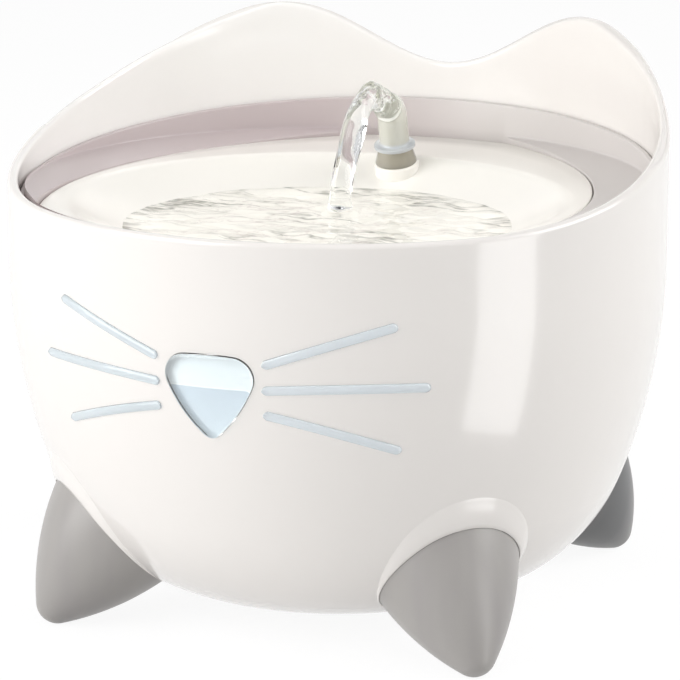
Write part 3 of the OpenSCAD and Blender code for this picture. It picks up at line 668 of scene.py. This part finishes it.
ice = see_through("clear_ice", paint(246, 251, 252), Roughness=0.04, IOR=1.49, Transmission_Weight=1.0)
ice.set("Base Color", ice.blend(ice.noise(30, 2), paint(249, 251, 251), paint(253, 254, 254)))
NOSE_PROUD = 1.8
NOSE_DEPTH = -3.4
NOSE_EDGE = 1.3
nose_side = nose_line(0)
nose_middle = np.array([0, NOSE_Z - 3])
window_rings = drawn_in(nose_side, nose_middle, (0, 0.2, 0.4, 0.6, 0.8, 1), NOSE_DEPTH)
window_rings.append(front_face(nose_side, 0.0))
for grow, out in rounded(0, NOSE_PROUD, NOSE_EDGE, 6):
    window_rings.append(front_face(nose_line(grow), out))
window_rings += drawn_in(nose_line(-NOSE_EDGE), nose_middle, (0.85, 0.7, 0.5, 0.3, 0.12, 0), NOSE_PROUD)
window = mesh_piece("nose_window_block", skin(window_rings), sharp=60)
fit(window, "base", "clear_blue", ice, "nose_window")

# a thin sheet behind the block, painted with what is seen through it and glowing faintly as painted light:
# air above, water below, with a painted bright line at the water's level
WATER_Z = 111.6
SHEET_ROOM = 0.1
SHEET_T = 0.35
behind = Finish("painted_glow_behind_window", Roughness=0.35, Emission_Strength=0.07)
over_water = behind.coordinates()[2] - WATER_Z * MM
# painted highlight: a bright line along the water's level
waterline_painted_highlight = (1 - over_water.maths("ABSOLUTE") * 2400).held()
wet = behind.blend((over_water * -40).held(), paint(200, 210, 219), paint(215, 224, 230))
dry = behind.blend((over_water * 90).held(), paint(233, 238, 240), paint(224, 231, 234))
both = behind.blend((over_water * 4000 + 0.5).held(), wet, dry)
tone = behind.blend(waterline_painted_highlight, both, paint(250, 253, 253))
behind.set("Base Color", tone)
behind.set("Emission Color", tone)
sheet_line = nose_line(-SHEET_ROOM, fine=3)
sheet_middle = sheet_line.mean(0)
sheet_rings = drawn_in(sheet_line, sheet_middle, (0, 1), NOSE_DEPTH - SHEET_ROOM - SHEET_T)
sheet_rings += drawn_in(sheet_line, sheet_middle, (1, 0.75, 0.5, 0.25, 0), NOSE_DEPTH - SHEET_ROOM)
sheet = mesh_piece("nose_back_sheet", skin(sheet_rings), sharp=50)
fit(sheet, "base", "clear_blue", behind)

dress(moulded("soft_black_rubber", (0.018, 0.018, 0.019), 0.6, grain=0.03, mottle=0.15),
      "nose_gasket", "cord_gland", "suction_cups", "spout_seal")
dress(moulded("satin_white", paint(232, 230, 227), 0.4), "nose_frame")


# ------------ Whiskers
# Six clear strips with round ends, three each side of the nose, pressed and
# glued into shallow grooves in the bowl.
frosted = see_through("frosted_ice", paint(232, 236, 240), Roughness=0.14, IOR=1.49,
                      Transmission_Weight=0.45, Coat_Weight=0.5, Coat_Roughness=0.03)
# painted light: the whiskers are painted darker at the left and paler at the right
painted_light_to_right = (frosted.coordinates()[0] * 20 + 0.5).held()
ice_with_painted_light = frosted.blend(painted_light_to_right, paint(220, 228, 232), paint(240, 246, 250))
frosted.set("Base Color", frosted.blend(frosted.noise(45, 2) * 0.5, ice_with_painted_light, paint(246, 250, 252)))
WHISKER_SINK = 0.1 - GROOVE
dome = [(math.sin(turn), 0.35 + 0.85 * math.cos(turn)) for turn in np.radians(np.linspace(-90, 90, 11))]
whisker_section = [(-1, WHISKER_SINK)] + dome + [(1, WHISKER_SINK)]
for side, side_name in ((-1, "left"), (1, "right")):
    for name, whisker in WHISKERS.items():
        node = "whisker_%s_%s" % (side_name, name)
        piece = mesh_piece(node + "_strip", strip(side, whisker, whisker_section), sharp=50, merge=0.01)
        fit(piece, "base", "clear_blue", frosted, node)


# ------------ Reservoir water
# Tap water in the bowl, up to half way behind the nose window. It stands
# round the pump and its filter housing and wets the lower part of the riser.
wet_look = {"Roughness": 0.0, "IOR": 1.333, "Transmission_Weight": 1.0}
water = see_through("water", (0.97, 0.985, 0.985), Base_Color=(0.97, 0.985, 0.985), **wet_look)
water.set("Normal", water.bump(water.noise(70, 2), 0.12, 0.4 * MM))
WATER_GAP = -0.4         # the water reaches into the wall, so that no gap shows
LAKE_SAG = 0.8           # how far the face lies under its edge, where it climbs the wall
LAKE_NOTCH_X = 26.0      # behind the nose the water stays clear of the window
LAKE_NOTCH = 3.4
lake_line = [p for p in bowl_line(-WALL - WATER_GAP, FLOOR_Z + WATER_GAP, 14) if p[1] < WATER_Z - 2]
lake_r = SIDE_MID[0] + math.sqrt((SIDE_R - WALL - WATER_GAP) ** 2 - (WATER_Z - SIDE_TOP_Z) ** 2)
lake_line += [(lake_r, WATER_Z), (lake_r - 0.8, WATER_Z - 0.5), (lake_r - 2.5, WATER_Z - LAKE_SAG)]
lake_line += [(radius, WATER_Z - LAKE_SAG) for radius in np.linspace(lake_r - 6, 0, 14)]
lake_points, lake_faces = skin(rings_of(lake_line, compass(96)))
by_nose = (lake_points[:, 1] < HOLE_Y[1]) & (np.abs(lake_points[:, 0]) < LAKE_NOTCH_X)
lake_points[by_nose, 1] += LAKE_NOTCH
lake = mesh_piece("reservoir_water", (lake_points, lake_faces), sharp=50)
fit(lake, "base", "clear", water)


# ------------ Tray ring
# A satin grey ring that drops into the bowl and rests on a ledge. Its wall
# stands higher at the back, and a sloping deck at each side frames the dish.
TRAY_R = 122.6
TRAY_IN = 120.4
TRAY_EDGE = 0.7
TRAY_ROOM = 0.3
EDGE_TILT = 0.1
DISH_Z = 161.7
DECK_Z = DISH_Z + 0.2
DECK_R = 101.0           # past this radius the deck climbs to the wall
DECK_SLOPE = 0.11
DECK_RUN = 22.0
DECK_SHADE_Z = 166.0     # under this height the grey is a little deeper
SHELF_Z = 159.0          # the shelf under the deck, which the dish's edge rests on
SHELF_T = 2.2
SHELF_REACH = 4.5
DISH_ARC = 165.0
DISH_SHIFT = 64.0
DISH_CLIP = 118.4
DISH_Y = -20.0
tray_grey = moulded("satin_tray_grey", paint(206, 199, 197), 0.34, grain=0.012)
tray_east, _, tray_up = tray_grey.coordinates()
# painted shade: the ring is painted darker and pinker at the left, paler at the right
shade = tray_grey.blend((tray_east * 14 + 0.72).held(), paint(200, 188, 188), paint(211, 206, 203))
# painted shade: the low deck is painted a little darker
deck = ((DECK_SHADE_Z * MM - tray_up) * 500).held() * 0.07
tray_grey.set("Base Color", tray_grey.blend(deck, shade, paint(140, 130, 130)))


def lens_reach(start, ways, grow):
    """How far a line runs from a start point to the dish's outline of two large arcs."""
    reach = np.full(len(ways), 1e9)
    for side in (-1, 1):
        offset = np.array(start) - np.array([side * DISH_SHIFT, DISH_Y])
        along = ways @ offset
        inside = along ** 2 - (offset @ offset) + (DISH_ARC + grow) ** 2
        reach = np.minimum(reach, -along + np.sqrt(inside))
    return reach


def deck_height(radius):
    return DECK_Z + DECK_SLOPE * np.clip(radius - DECK_R, 0, None)


def edge_height(radius):
    """The wall's tilted top edge, higher at the back."""
    return FRONT_RIM_Z + 0.1 + EDGE_TILT * tray_ways[:, 1] * radius


tray_ways = compass(360)
deck_in = np.minimum(lens_reach((0, 0), tray_ways, 0.4), TRAY_IN)
shelf_in = np.minimum(lens_reach((0, 0), tray_ways, -SHELF_REACH), DISH_CLIP - 1)
deck_top = deck_height(deck_in)
wall_deck = np.where(deck_in < TRAY_IN - 0.01, DISH_Z + DECK_SLOPE * DECK_RUN, deck_top)
corner_r = np.minimum(0.8, (TRAY_IN - deck_in) / 3)
brim_r = np.minimum(0.6, (TRAY_IN - deck_in) / 3)
tray_line = [(TRAY_R, SEAT_Z + TRAY_ROOM), (TRAY_R, SEAT_Z + 6)]
tray_line += rounded(TRAY_R, edge_height(TRAY_R), TRAY_EDGE, 4)
tray_line += rounded(TRAY_IN, edge_height(TRAY_IN), TRAY_EDGE, 4, inwards=-1)[::-1]
tray_line += rounded(TRAY_IN, wall_deck, corner_r, 4, down=-1)
for share in np.linspace(0, 1, 8)[1:-1]:
    deck_r = (TRAY_IN - corner_r) * (1 - share) + deck_in * share
    tray_line.append((deck_r, deck_height(deck_r)))
tray_line += rounded(deck_in, deck_top, brim_r, 4, inwards=-1)[::-1]
tray_line += [(deck_in, SHELF_Z), (shelf_in, SHELF_Z), (shelf_in, SHELF_Z - SHELF_T),
              (TRAY_IN, SHELF_Z - SHELF_T), (TRAY_IN, SEAT_Z + TRAY_ROOM)]
tray = mesh_piece("tray_ring_form", skin(rings_of(tray_line, tray_ways), closed=True), sharp=42)
fit(tray, "tray", "tray_grey", tray_grey, "tray_ring")


# ------------ Drinking dish
# A thin dish moulded in glossy cream, with a shallow round basin, drain slots
# past the pool's shore at the front, and a leaning collar for the spout.
DISH_T = 2.4
DISH_EDGE = 0.7
FLAT_R = 98.0            # past this radius the dish is flat
BASIN_Y = -22.0
BASIN_R = 95.0
BASIN_D = 24.8
BASIN_SOFT = 1.6
BASIN_ARC = (BASIN_R ** 2 + BASIN_D ** 2) / (2 * BASIN_D)
BASIN_MID_Z = DISH_Z - BASIN_D + BASIN_ARC
dish_ways = compass(300)
along_wall = dish_ways @ np.array([0, BASIN_Y])
wall_reach = -along_wall + np.sqrt(along_wall ** 2 - BASIN_Y ** 2 + DISH_CLIP ** 2)
dish_edge = np.minimum(lens_reach((0, BASIN_Y), dish_ways, 0), wall_reach)


def basin_height(radius, drop=0.0):
    """The dish's face at a distance from the basin's middle: a sphere that runs softly into a flat rim."""
    ball = BASIN_MID_Z - np.sqrt(np.maximum((BASIN_ARC + drop) ** 2 - radius ** 2, 1.0))
    return lower_of(DISH_Z - drop, ball, BASIN_SOFT)


upper_radii = np.concatenate([np.linspace(0, 84, 22), np.linspace(86, FLAT_R, 13)])
lower_radii = np.concatenate([np.linspace(FLAT_R, 86, 7), np.linspace(80, 0, 12)])
dish_line = [(radius, basin_height(radius)) for radius in upper_radii]
dish_line += [(FLAT_R + (dish_edge - DISH_EDGE - FLAT_R) * share, DISH_Z) for share in (0.25, 0.6, 1.0)]
for turn in np.radians(np.linspace(90, -90, 9))[1:]:
    dish_line.append((dish_edge - DISH_EDGE * (1 - math.cos(turn)),
                      DISH_Z - DISH_T / 2 * (1 - math.sin(turn))))
dish_line += [(radius, basin_height(radius, DISH_T)) for radius in lower_radii]
dish = mesh_piece("dish_form", skin(rings_of(dish_line, dish_ways, (0, BASIN_Y))), sharp=50)
cream = moulded("glossy_cream", paint(251, 248, 241), 0.22, grain=0.006, mottle=0.015, coat=0.2)


class Form:
    """A mesh tree: its sizes are named inputs, and each of its nodes is made by one call."""

    def __init__(self, name, sizes):
        self.group = bpy.data.node_groups.new(name, "GeometryNodeTree")
        self.group.interface.new_socket("Geometry", in_out="OUTPUT", socket_type="NodeSocketGeometry")
        for size, value in sizes.items():
            kind = "NodeSocketInt" if isinstance(value, int) else "NodeSocketFloat"
            self.group.interface.new_socket(size, in_out="INPUT", socket_type=kind)
        self.sizes = self.group.nodes.new("NodeGroupInput").outputs

    def add(self, kind, values, operation=None):
        made = self.group.nodes.new(kind)
        if operation:
            made.operation = operation
        for key, value in values.items():
            if isinstance(value, bpy.types.NodeSocket):
                self.group.links.new(value, made.inputs[key])
            else:
                made.inputs[key].default_value = value
        return made.outputs[0] if made.outputs else made

    def maths(self, operation, *values):
        return self.add("ShaderNodeMath", dict(enumerate(values)), operation)

    def grown(self, name, sizes):
        """Runs the tree with its sizes and keeps the result as a plain mesh."""
        piece = placed(name, bpy.data.meshes.new(name))
        run = piece.modifiers.new("form", "NODES")
        run.node_group = self.group
        for item in self.group.interface.items_tree:
            if item.in_out == "INPUT":
                run[item.identifier] = sizes[item.name]
        settle(piece)
        return piece


# seven drain slots, set round the basin's middle by one tree, and cut out of the dish
slots = {"count": 7, "step": math.radians(12), "radius": 80 * MM, "length": 10 * MM, "width": 3 * MM,
         "height": 40 * MM, "middle north": BASIN_Y * MM, "middle up": 150 * MM}
SLOT_ROUND = 1.4
form = Form("drain_slots", slots)
size = form.sizes
extent = form.add("ShaderNodeCombineXYZ", {0: size["width"], 1: size["length"], 2: size["height"]})
block = form.add("GeometryNodeMeshCube", {"Size": extent})
outwards = form.add("ShaderNodeCombineXYZ", {1: form.maths("MULTIPLY", size["radius"], -1.0)})
moved = form.add("GeometryNodeTransform", {"Geometry": block, "Translation": outwards})
middle = form.add("ShaderNodeCombineXYZ", {1: size["middle north"], 2: size["middle up"]})
line = form.add("GeometryNodeMeshLine",
                {"Count": size["count"], "Start Location": middle, "Offset": (0, 0, 0)})
centre = form.maths("MULTIPLY", form.maths("SUBTRACT", size["count"], 1.0), 0.5)
shift = form.maths("SUBTRACT", form.add("GeometryNodeInputIndex", {}), centre)
turned = form.add("ShaderNodeCombineXYZ", {2: form.maths("MULTIPLY", shift, size["step"])})
copies = form.add("GeometryNodeInstanceOnPoints", {"Points": line, "Instance": moved, "Rotation": turned})
real = form.add("GeometryNodeRealizeInstances", {"Geometry": copies})
painted = form.add("GeometryNodeSetMaterial", {"Geometry": real, "Material": cream.material})
form.add("NodeGroupOutput", {0: painted})
slot_tool = form.grown("drain_slot_tool", slots)
soften = slot_tool.modifiers.new("round", "BEVEL")
soften.width = SLOT_ROUND * MM
soften.segments = 4
settle(slot_tool)
cut_away(dish, slot_tool)
dish.data.set_sharp_from_angle(angle=math.radians(40))
fit(dish, "dish", "dish_cream", cream, "drinking_dish")

SPOUT_LEAN = math.radians(14)
SPOUT_FOOT = np.array([0, 62.3, 168.0])
RISER_Y = 65.29


def at_spout(rings):
    """From the spout's own axis, z along its tube, to its place on the dish."""
    found = []
    for x, y, z in (points.T for points in rings):
        found.append(np.stack([x, y * math.cos(SPOUT_LEAN) - z * math.sin(SPOUT_LEAN),
                               y * math.sin(SPOUT_LEAN) + z * math.cos(SPOUT_LEAN)], 1) + SPOUT_FOOT)
    return found


collar_line = [(5.6, -18), (5.6, -7.5), (8.3, -7.5), (8.7, -7.7), (9.0, -8.2), (9.0, -13), (9.3, -14.2),
               (10.2, -15.2), (11.6, -15.8), (11.6, -17), (9.0, -18)]
collar = mesh_piece("dish_collar", skin(at_spout(rings_of(collar_line, compass(64))), closed=True), sharp=40)
fit(collar, "dish", "dish_cream", cream)
socket_line = [(6.5, 146), (8, 146), (8, 155), (6.5, 155)]
socket_rings = rings_of(socket_line, compass(48), (0, RISER_Y))
socket = mesh_piece("dish_socket", skin(socket_rings, closed=True), sharp=40)
fit(socket, "dish", "dish_cream", cream)


# ------------ Pool
# The water that the cat drinks, held in the basin, with rings and ripples
# running out from where the jet falls in.
POOL_Z = 151.7
POOL_SINK = 0.5          # the water reaches into the dish, so that no gap shows
POOL_R = math.sqrt((BASIN_ARC + POOL_SINK) ** 2 - (BASIN_MID_Z - POOL_Z) ** 2)
SPLASH = np.array([0.0, 2.0])
CROWN_R = 5.6
CROWN_H = 1.7
ENDS_X = 42.0            # past this the dark lines lie closer
SHORE_W = 5.5
ripple_draw = np.random.default_rng(7)
swells = [(ripple_draw.uniform(0, 2 * np.pi), ripple_draw.uniform(9, 24), ripple_draw.uniform(0, 2 * np.pi),
           ripple_draw.uniform(0.05, 0.16)) for _ in range(22)]


def ripple(points):
    """Height of the pool's face over its rest level."""
    away = np.linalg.norm(points - SPLASH, axis=1)
    turn = np.arctan2(points[:, 1] - SPLASH[1], points[:, 0] - SPLASH[0])
    height = 0.7 * np.cos(away / 2.1) * np.exp(-away / 22) + 0.4 * np.cos(away / 3.4 + 1) * np.exp(-away / 45)
    crown = 0.5 + 0.35 * np.sin(2 * turn + 1.1) + 0.25 * np.sin(5 * turn + 2) + 0.12 * np.sin(9 * turn)
    height = height + CROWN_H * crown * np.exp(-((away - CROWN_R) / 1.7) ** 2)
    for way, length, start, size in swells:
        wave = (points @ np.array([math.cos(way), math.sin(way)])) * 2 * np.pi / length + start
        height = height + size * (1 - 2 * np.abs(np.sin(wave / 2 + 0.6 * np.sin(points[:, 0] / 13))))
    return height


face_shares = np.linspace(0, 1, 90)
pool_line = [(POOL_R * share, POOL_Z) for share in face_shares]
for pool_r in POOL_R * np.linspace(1, 0, 20)[1:]:
    pool_line.append((pool_r, BASIN_MID_Z - math.sqrt((BASIN_ARC + POOL_SINK) ** 2 - pool_r ** 2)))
pool_rings = rings_of(pool_line, compass(240), (0, BASIN_Y))
for share, ring in zip(face_shares, pool_rings):
    ring[:, 2] += ripple(ring[:, :2]) * (1 - share ** 12)
pool = mesh_piece("pool_water", skin(pool_rings))
pool_finish = see_through("pool_water", (0.91, 0.91, 0.905), **wet_look)
# painted light: thin dark lines painted where a ripple's steep side would turn the light away, closest at the
# pool's two ends, and painted shade along the shore
pool_east, pool_north, _ = pool_finish.coordinates()
pool_north = pool_north - BASIN_Y * MM
grain = pool_finish.noise(52, 4, stretch=(0.42, 1.5, 1), rough=0.6)
painted_ripple_lines = (1 - (grain - 0.5).maths("ABSOLUTE") * 21).held()
patches = ((pool_finish.noise(30, 2, stretch=(0.7, 1.3, 1)) - 0.46) * 7).held()
ends = ((pool_east.maths("ABSOLUTE") - ENDS_X * MM) * 34).held()
from_middle = (pool_east * pool_east + pool_north * pool_north).maths("SQRT")
shore = ((from_middle - (POOL_R - SHORE_W) * MM) * 240).held()
dark = (painted_ripple_lines * (patches * 0.8 + ends * 0.6 + 0.3) + shore * (patches * 0.35 + 0.14)).held()
pool_finish.set("Base Color", pool_finish.blend(dark, (0.905, 0.91, 0.90), (0.13, 0.13, 0.115)))
fine_ripples = pool_finish.noise(110, 2, stretch=(1, 1.6, 1))
pool_finish.set("Normal", pool_finish.bump(fine_ripples, 0.25, 0.5 * MM))
fit(pool, "dish", "clear", pool_finish)


# ------------ Spout
# A milky clear tube with a flat ring, plugged into the dish's collar over a
# rubber seal. Its neck widens to the collar and its mouth bends to the front.
milky = see_through("milky_plastic", paint(226, 226, 220), Roughness=0.14, IOR=1.49,
                    Transmission_Weight=0.42, Coat_Weight=0.6, Coat_Roughness=0.03)
_, spout_north, spout_up = milky.coordinates()
along_tube = ((spout_up - SPOUT_FOOT[2] * MM) * math.cos(SPOUT_LEAN)
              - (spout_north - SPOUT_FOOT[1] * MM) * math.sin(SPOUT_LEAN))
threads = (milky.noise(150, 3, stretch=(1, 1, 0.1)) * 2.4 - 0.7).held()
cloudy = milky.blend(threads, paint(216, 215, 204), paint(238, 238, 232))
# painted sheen: the ring is painted paler and bluer than the tube
pale = milky.blend(((along_tube - 1.3 * MM) * 900).held(), paint(226, 231, 236), cloudy)
# painted shade: the neck under the ring is painted dark olive
milky.set("Base Color", milky.blend(((along_tube + 1.2 * MM) * 2000).held(), paint(190, 184, 168), pale))
TUBE_R = 6.0
BORE_R = 4.5
PLUG_R = 5.2
TUBE_TOP = 11.8
BEND_R = 7.0
BEND_TURN = math.radians(68)
RING_R = 8.3
spout_line = [(BORE_R, -13), (PLUG_R, -13), (PLUG_R, -7.4), (8.3, -7.4), (8.4, -7.2), (8.3, -6.6),
              (6.95, -1.5), (6.95, -1.0), (8.05, -0.9), (RING_R, -0.7), (RING_R, 0.45), (8.2, 0.6),
              (7.9, 0.65), (6.6, 0.8), (6.2, 1.0), (TUBE_R, 1.7), (TUBE_R, TUBE_TOP)]
spout_ways = compass(56)


def bend_ring(radius, turn):
    """A ring of the tube's mouth, turned forward about the bend's middle."""
    x, y = (spout_ways * radius).T
    out = BEND_R + y
    return np.stack([x, out * math.cos(turn) - BEND_R, TUBE_TOP + out * math.sin(turn)], 1)


spout_rings = rings_of(spout_line, spout_ways)
spout_rings += [bend_ring(TUBE_R, turn) for turn in np.linspace(0, BEND_TURN, 12)[1:]]
spout_rings.append(bend_ring((TUBE_R + BORE_R) / 2, BEND_TURN + 0.02))
spout_rings += [bend_ring(BORE_R, turn) for turn in np.linspace(BEND_TURN, 0, 12)]
spout = mesh_piece("spout_tube", skin(at_spout(spout_rings), closed=True), sharp=48)
fit(spout, "spout", "clear", milky, "spout")


# ------------ Jet
# The stream that the pump pushes out of the spout. It swells over the mouth,
# thins as it falls, and breaks up the pool where it lands.
# the stream's middle, y and z, and its half width
JET = [(57.5, 183.6, 3.6), (54.4, 184.7, 4.2), (51.8, 185.8, 5.8), (48.0, 187.9, 5.4), (41.5, 190.6, 4.5),
       (34.0, 192.0, 4.5), (27.5, 190.6, 4.9), (21.0, 186.9, 5.1), (17.0, 182.6, 4.8), (13.2, 177.6, 4.4),
       (8.6, 171.4, 4.0), (5.0, 164.5, 3.8), (3.0, 158.0, 3.6), (2.2, 154.0, 4.1), (2.0, 152.6, 4.3),
       (2.0, 151.4, 0.4)]
JET_STEPS = 130
JET_COLUMNS = 40


def smooth_path(knots, count):
    """A soft curve through knots, evenly stepped, by Catmull-Rom spans."""
    padded = np.concatenate([[2 * knots[0] - knots[1]], knots, [2 * knots[-1] - knots[-2]]])
    found = []
    for t in np.linspace(0, len(knots) - 1 - 1e-6, count):
        i = int(t)
        u = t - i
        a, b, c, d = padded[i:i + 4]
        found.append(0.5 * (2 * b + (c - a) * u + (2 * a - 5 * b + 4 * c - d) * u ** 2
                            + (3 * b - a - 3 * c + d) * u ** 3))
    return np.array(found)


def jet_lump(run, turns):
    """How the stream's half width changes all round, at a share of its run: loose waves, and a rough head."""
    loose = min(1.0, max(0.0, (run - 0.06) / 0.12))
    rough = math.exp(-((run - 0.27) / 0.13) ** 2)
    waves = (0.15 * np.sin(2 * turns - 9 * run + 1.3) + 0.05 * np.sin(3 * turns + 12 * run)
             + 0.04 * math.sin(24 * run + 0.6))
    curls = (0.13 * np.sin(4 * turns + 33 * run) * math.sin(52 * run) + 0.06 * math.sin(61 * run)
             + 0.05 * np.sin(7 * turns - 21 * run) * math.sin(83 * run))
    return 1 + loose * waves + rough * curls


jet_path = smooth_path(np.insert(JET, 0, 0.0, axis=1), JET_STEPS)
jet_ways = np.gradient(jet_path[:, :3], axis=0)
jet_ways /= np.linalg.norm(jet_ways, axis=1)[:, None]
jet_turns = np.linspace(0, 2 * np.pi, JET_COLUMNS, endpoint=False)
side_way = np.array([1.0, 0, 0])
jet_rings = [np.tile(jet_path[0, :3], (JET_COLUMNS, 1))]
for i, (knot, way) in enumerate(zip(jet_path, jet_ways)):
    up_way = np.cross(side_way, way)
    jet_r = knot[3] * jet_lump(i / JET_STEPS, jet_turns)
    jet_rings.append(knot[:3] + side_way * (jet_r * np.cos(jet_turns))[:, None]
                     + up_way * (jet_r * np.sin(jet_turns))[:, None])
jet_rings.append(np.tile(jet_path[-1, :3], (JET_COLUMNS, 1)))
jet = mesh_piece("jet_water", skin(jet_rings))
jet_finish = see_through("jet_water", (0.97, 0.98, 0.98), Base_Color=(0.97, 0.98, 0.98), **wet_look)
fit(jet, "spout", "clear", jet_finish)


# ------------ Riser, housing, cartridge and pump
# The inner pieces, all lifted out for cleaning: a clear riser pipe, a white
# filter housing with its foam and carbon cartridge, and the small pump under it.
clear = see_through("clear_plastic", paint(240, 243, 240), Roughness=0.06, IOR=1.49, Transmission_Weight=1.0)
clear_grain = clear.noise(40, 2, stretch=(1, 1, 0.3))
clear.set("Base Color", clear.blend(clear_grain, paint(228, 234, 229), paint(244, 247, 245)))
dress(clear, "riser_pipe")
dress(moulded("plain_white", paint(226, 228, 229), 0.42, grain=0.03, mottle=0.04),
      "filter_housing", "cartridge_frame", "impeller")
dress(foot_grey, "flow_regulator")
dress(moulded("plain_black", (0.022, 0.022, 0.024), 0.42, grain=0.05, mottle=0.2),
      "pump_body", "pump_cover", "rear_bushing")
dress(moulded("ferrite", (0.05, 0.05, 0.053), 0.5, grain=0.05, mottle=0.3), "rotor_magnet")


def granular(name, roughness, lumps, low, high, strength, depth):
    """A finish of grains or cells: each dark at its middle and pale at its edge."""
    finish = Finish(name, Roughness=roughness)
    cells = finish.node("TexVoronoi", {}, {"Vector": finish.place(), "Scale": lumps})
    finish.set("Base Color", finish.blend(cells.held(), low, high))
    finish.set("Normal", finish.bump(cells, strength, depth * MM))
    return finish


foam = granular("open_foam", 0.95, 900.0, paint(92, 108, 132), paint(168, 184, 204), 0.9, 0.6)
dress(foam, "cartridge_foam")
carbon = granular("carbon_grains", 0.7, 600.0, (0.01, 0.01, 0.01), (0.06, 0.06, 0.062), 1.0, 0.8)
dress(carbon, "cartridge_carbon")
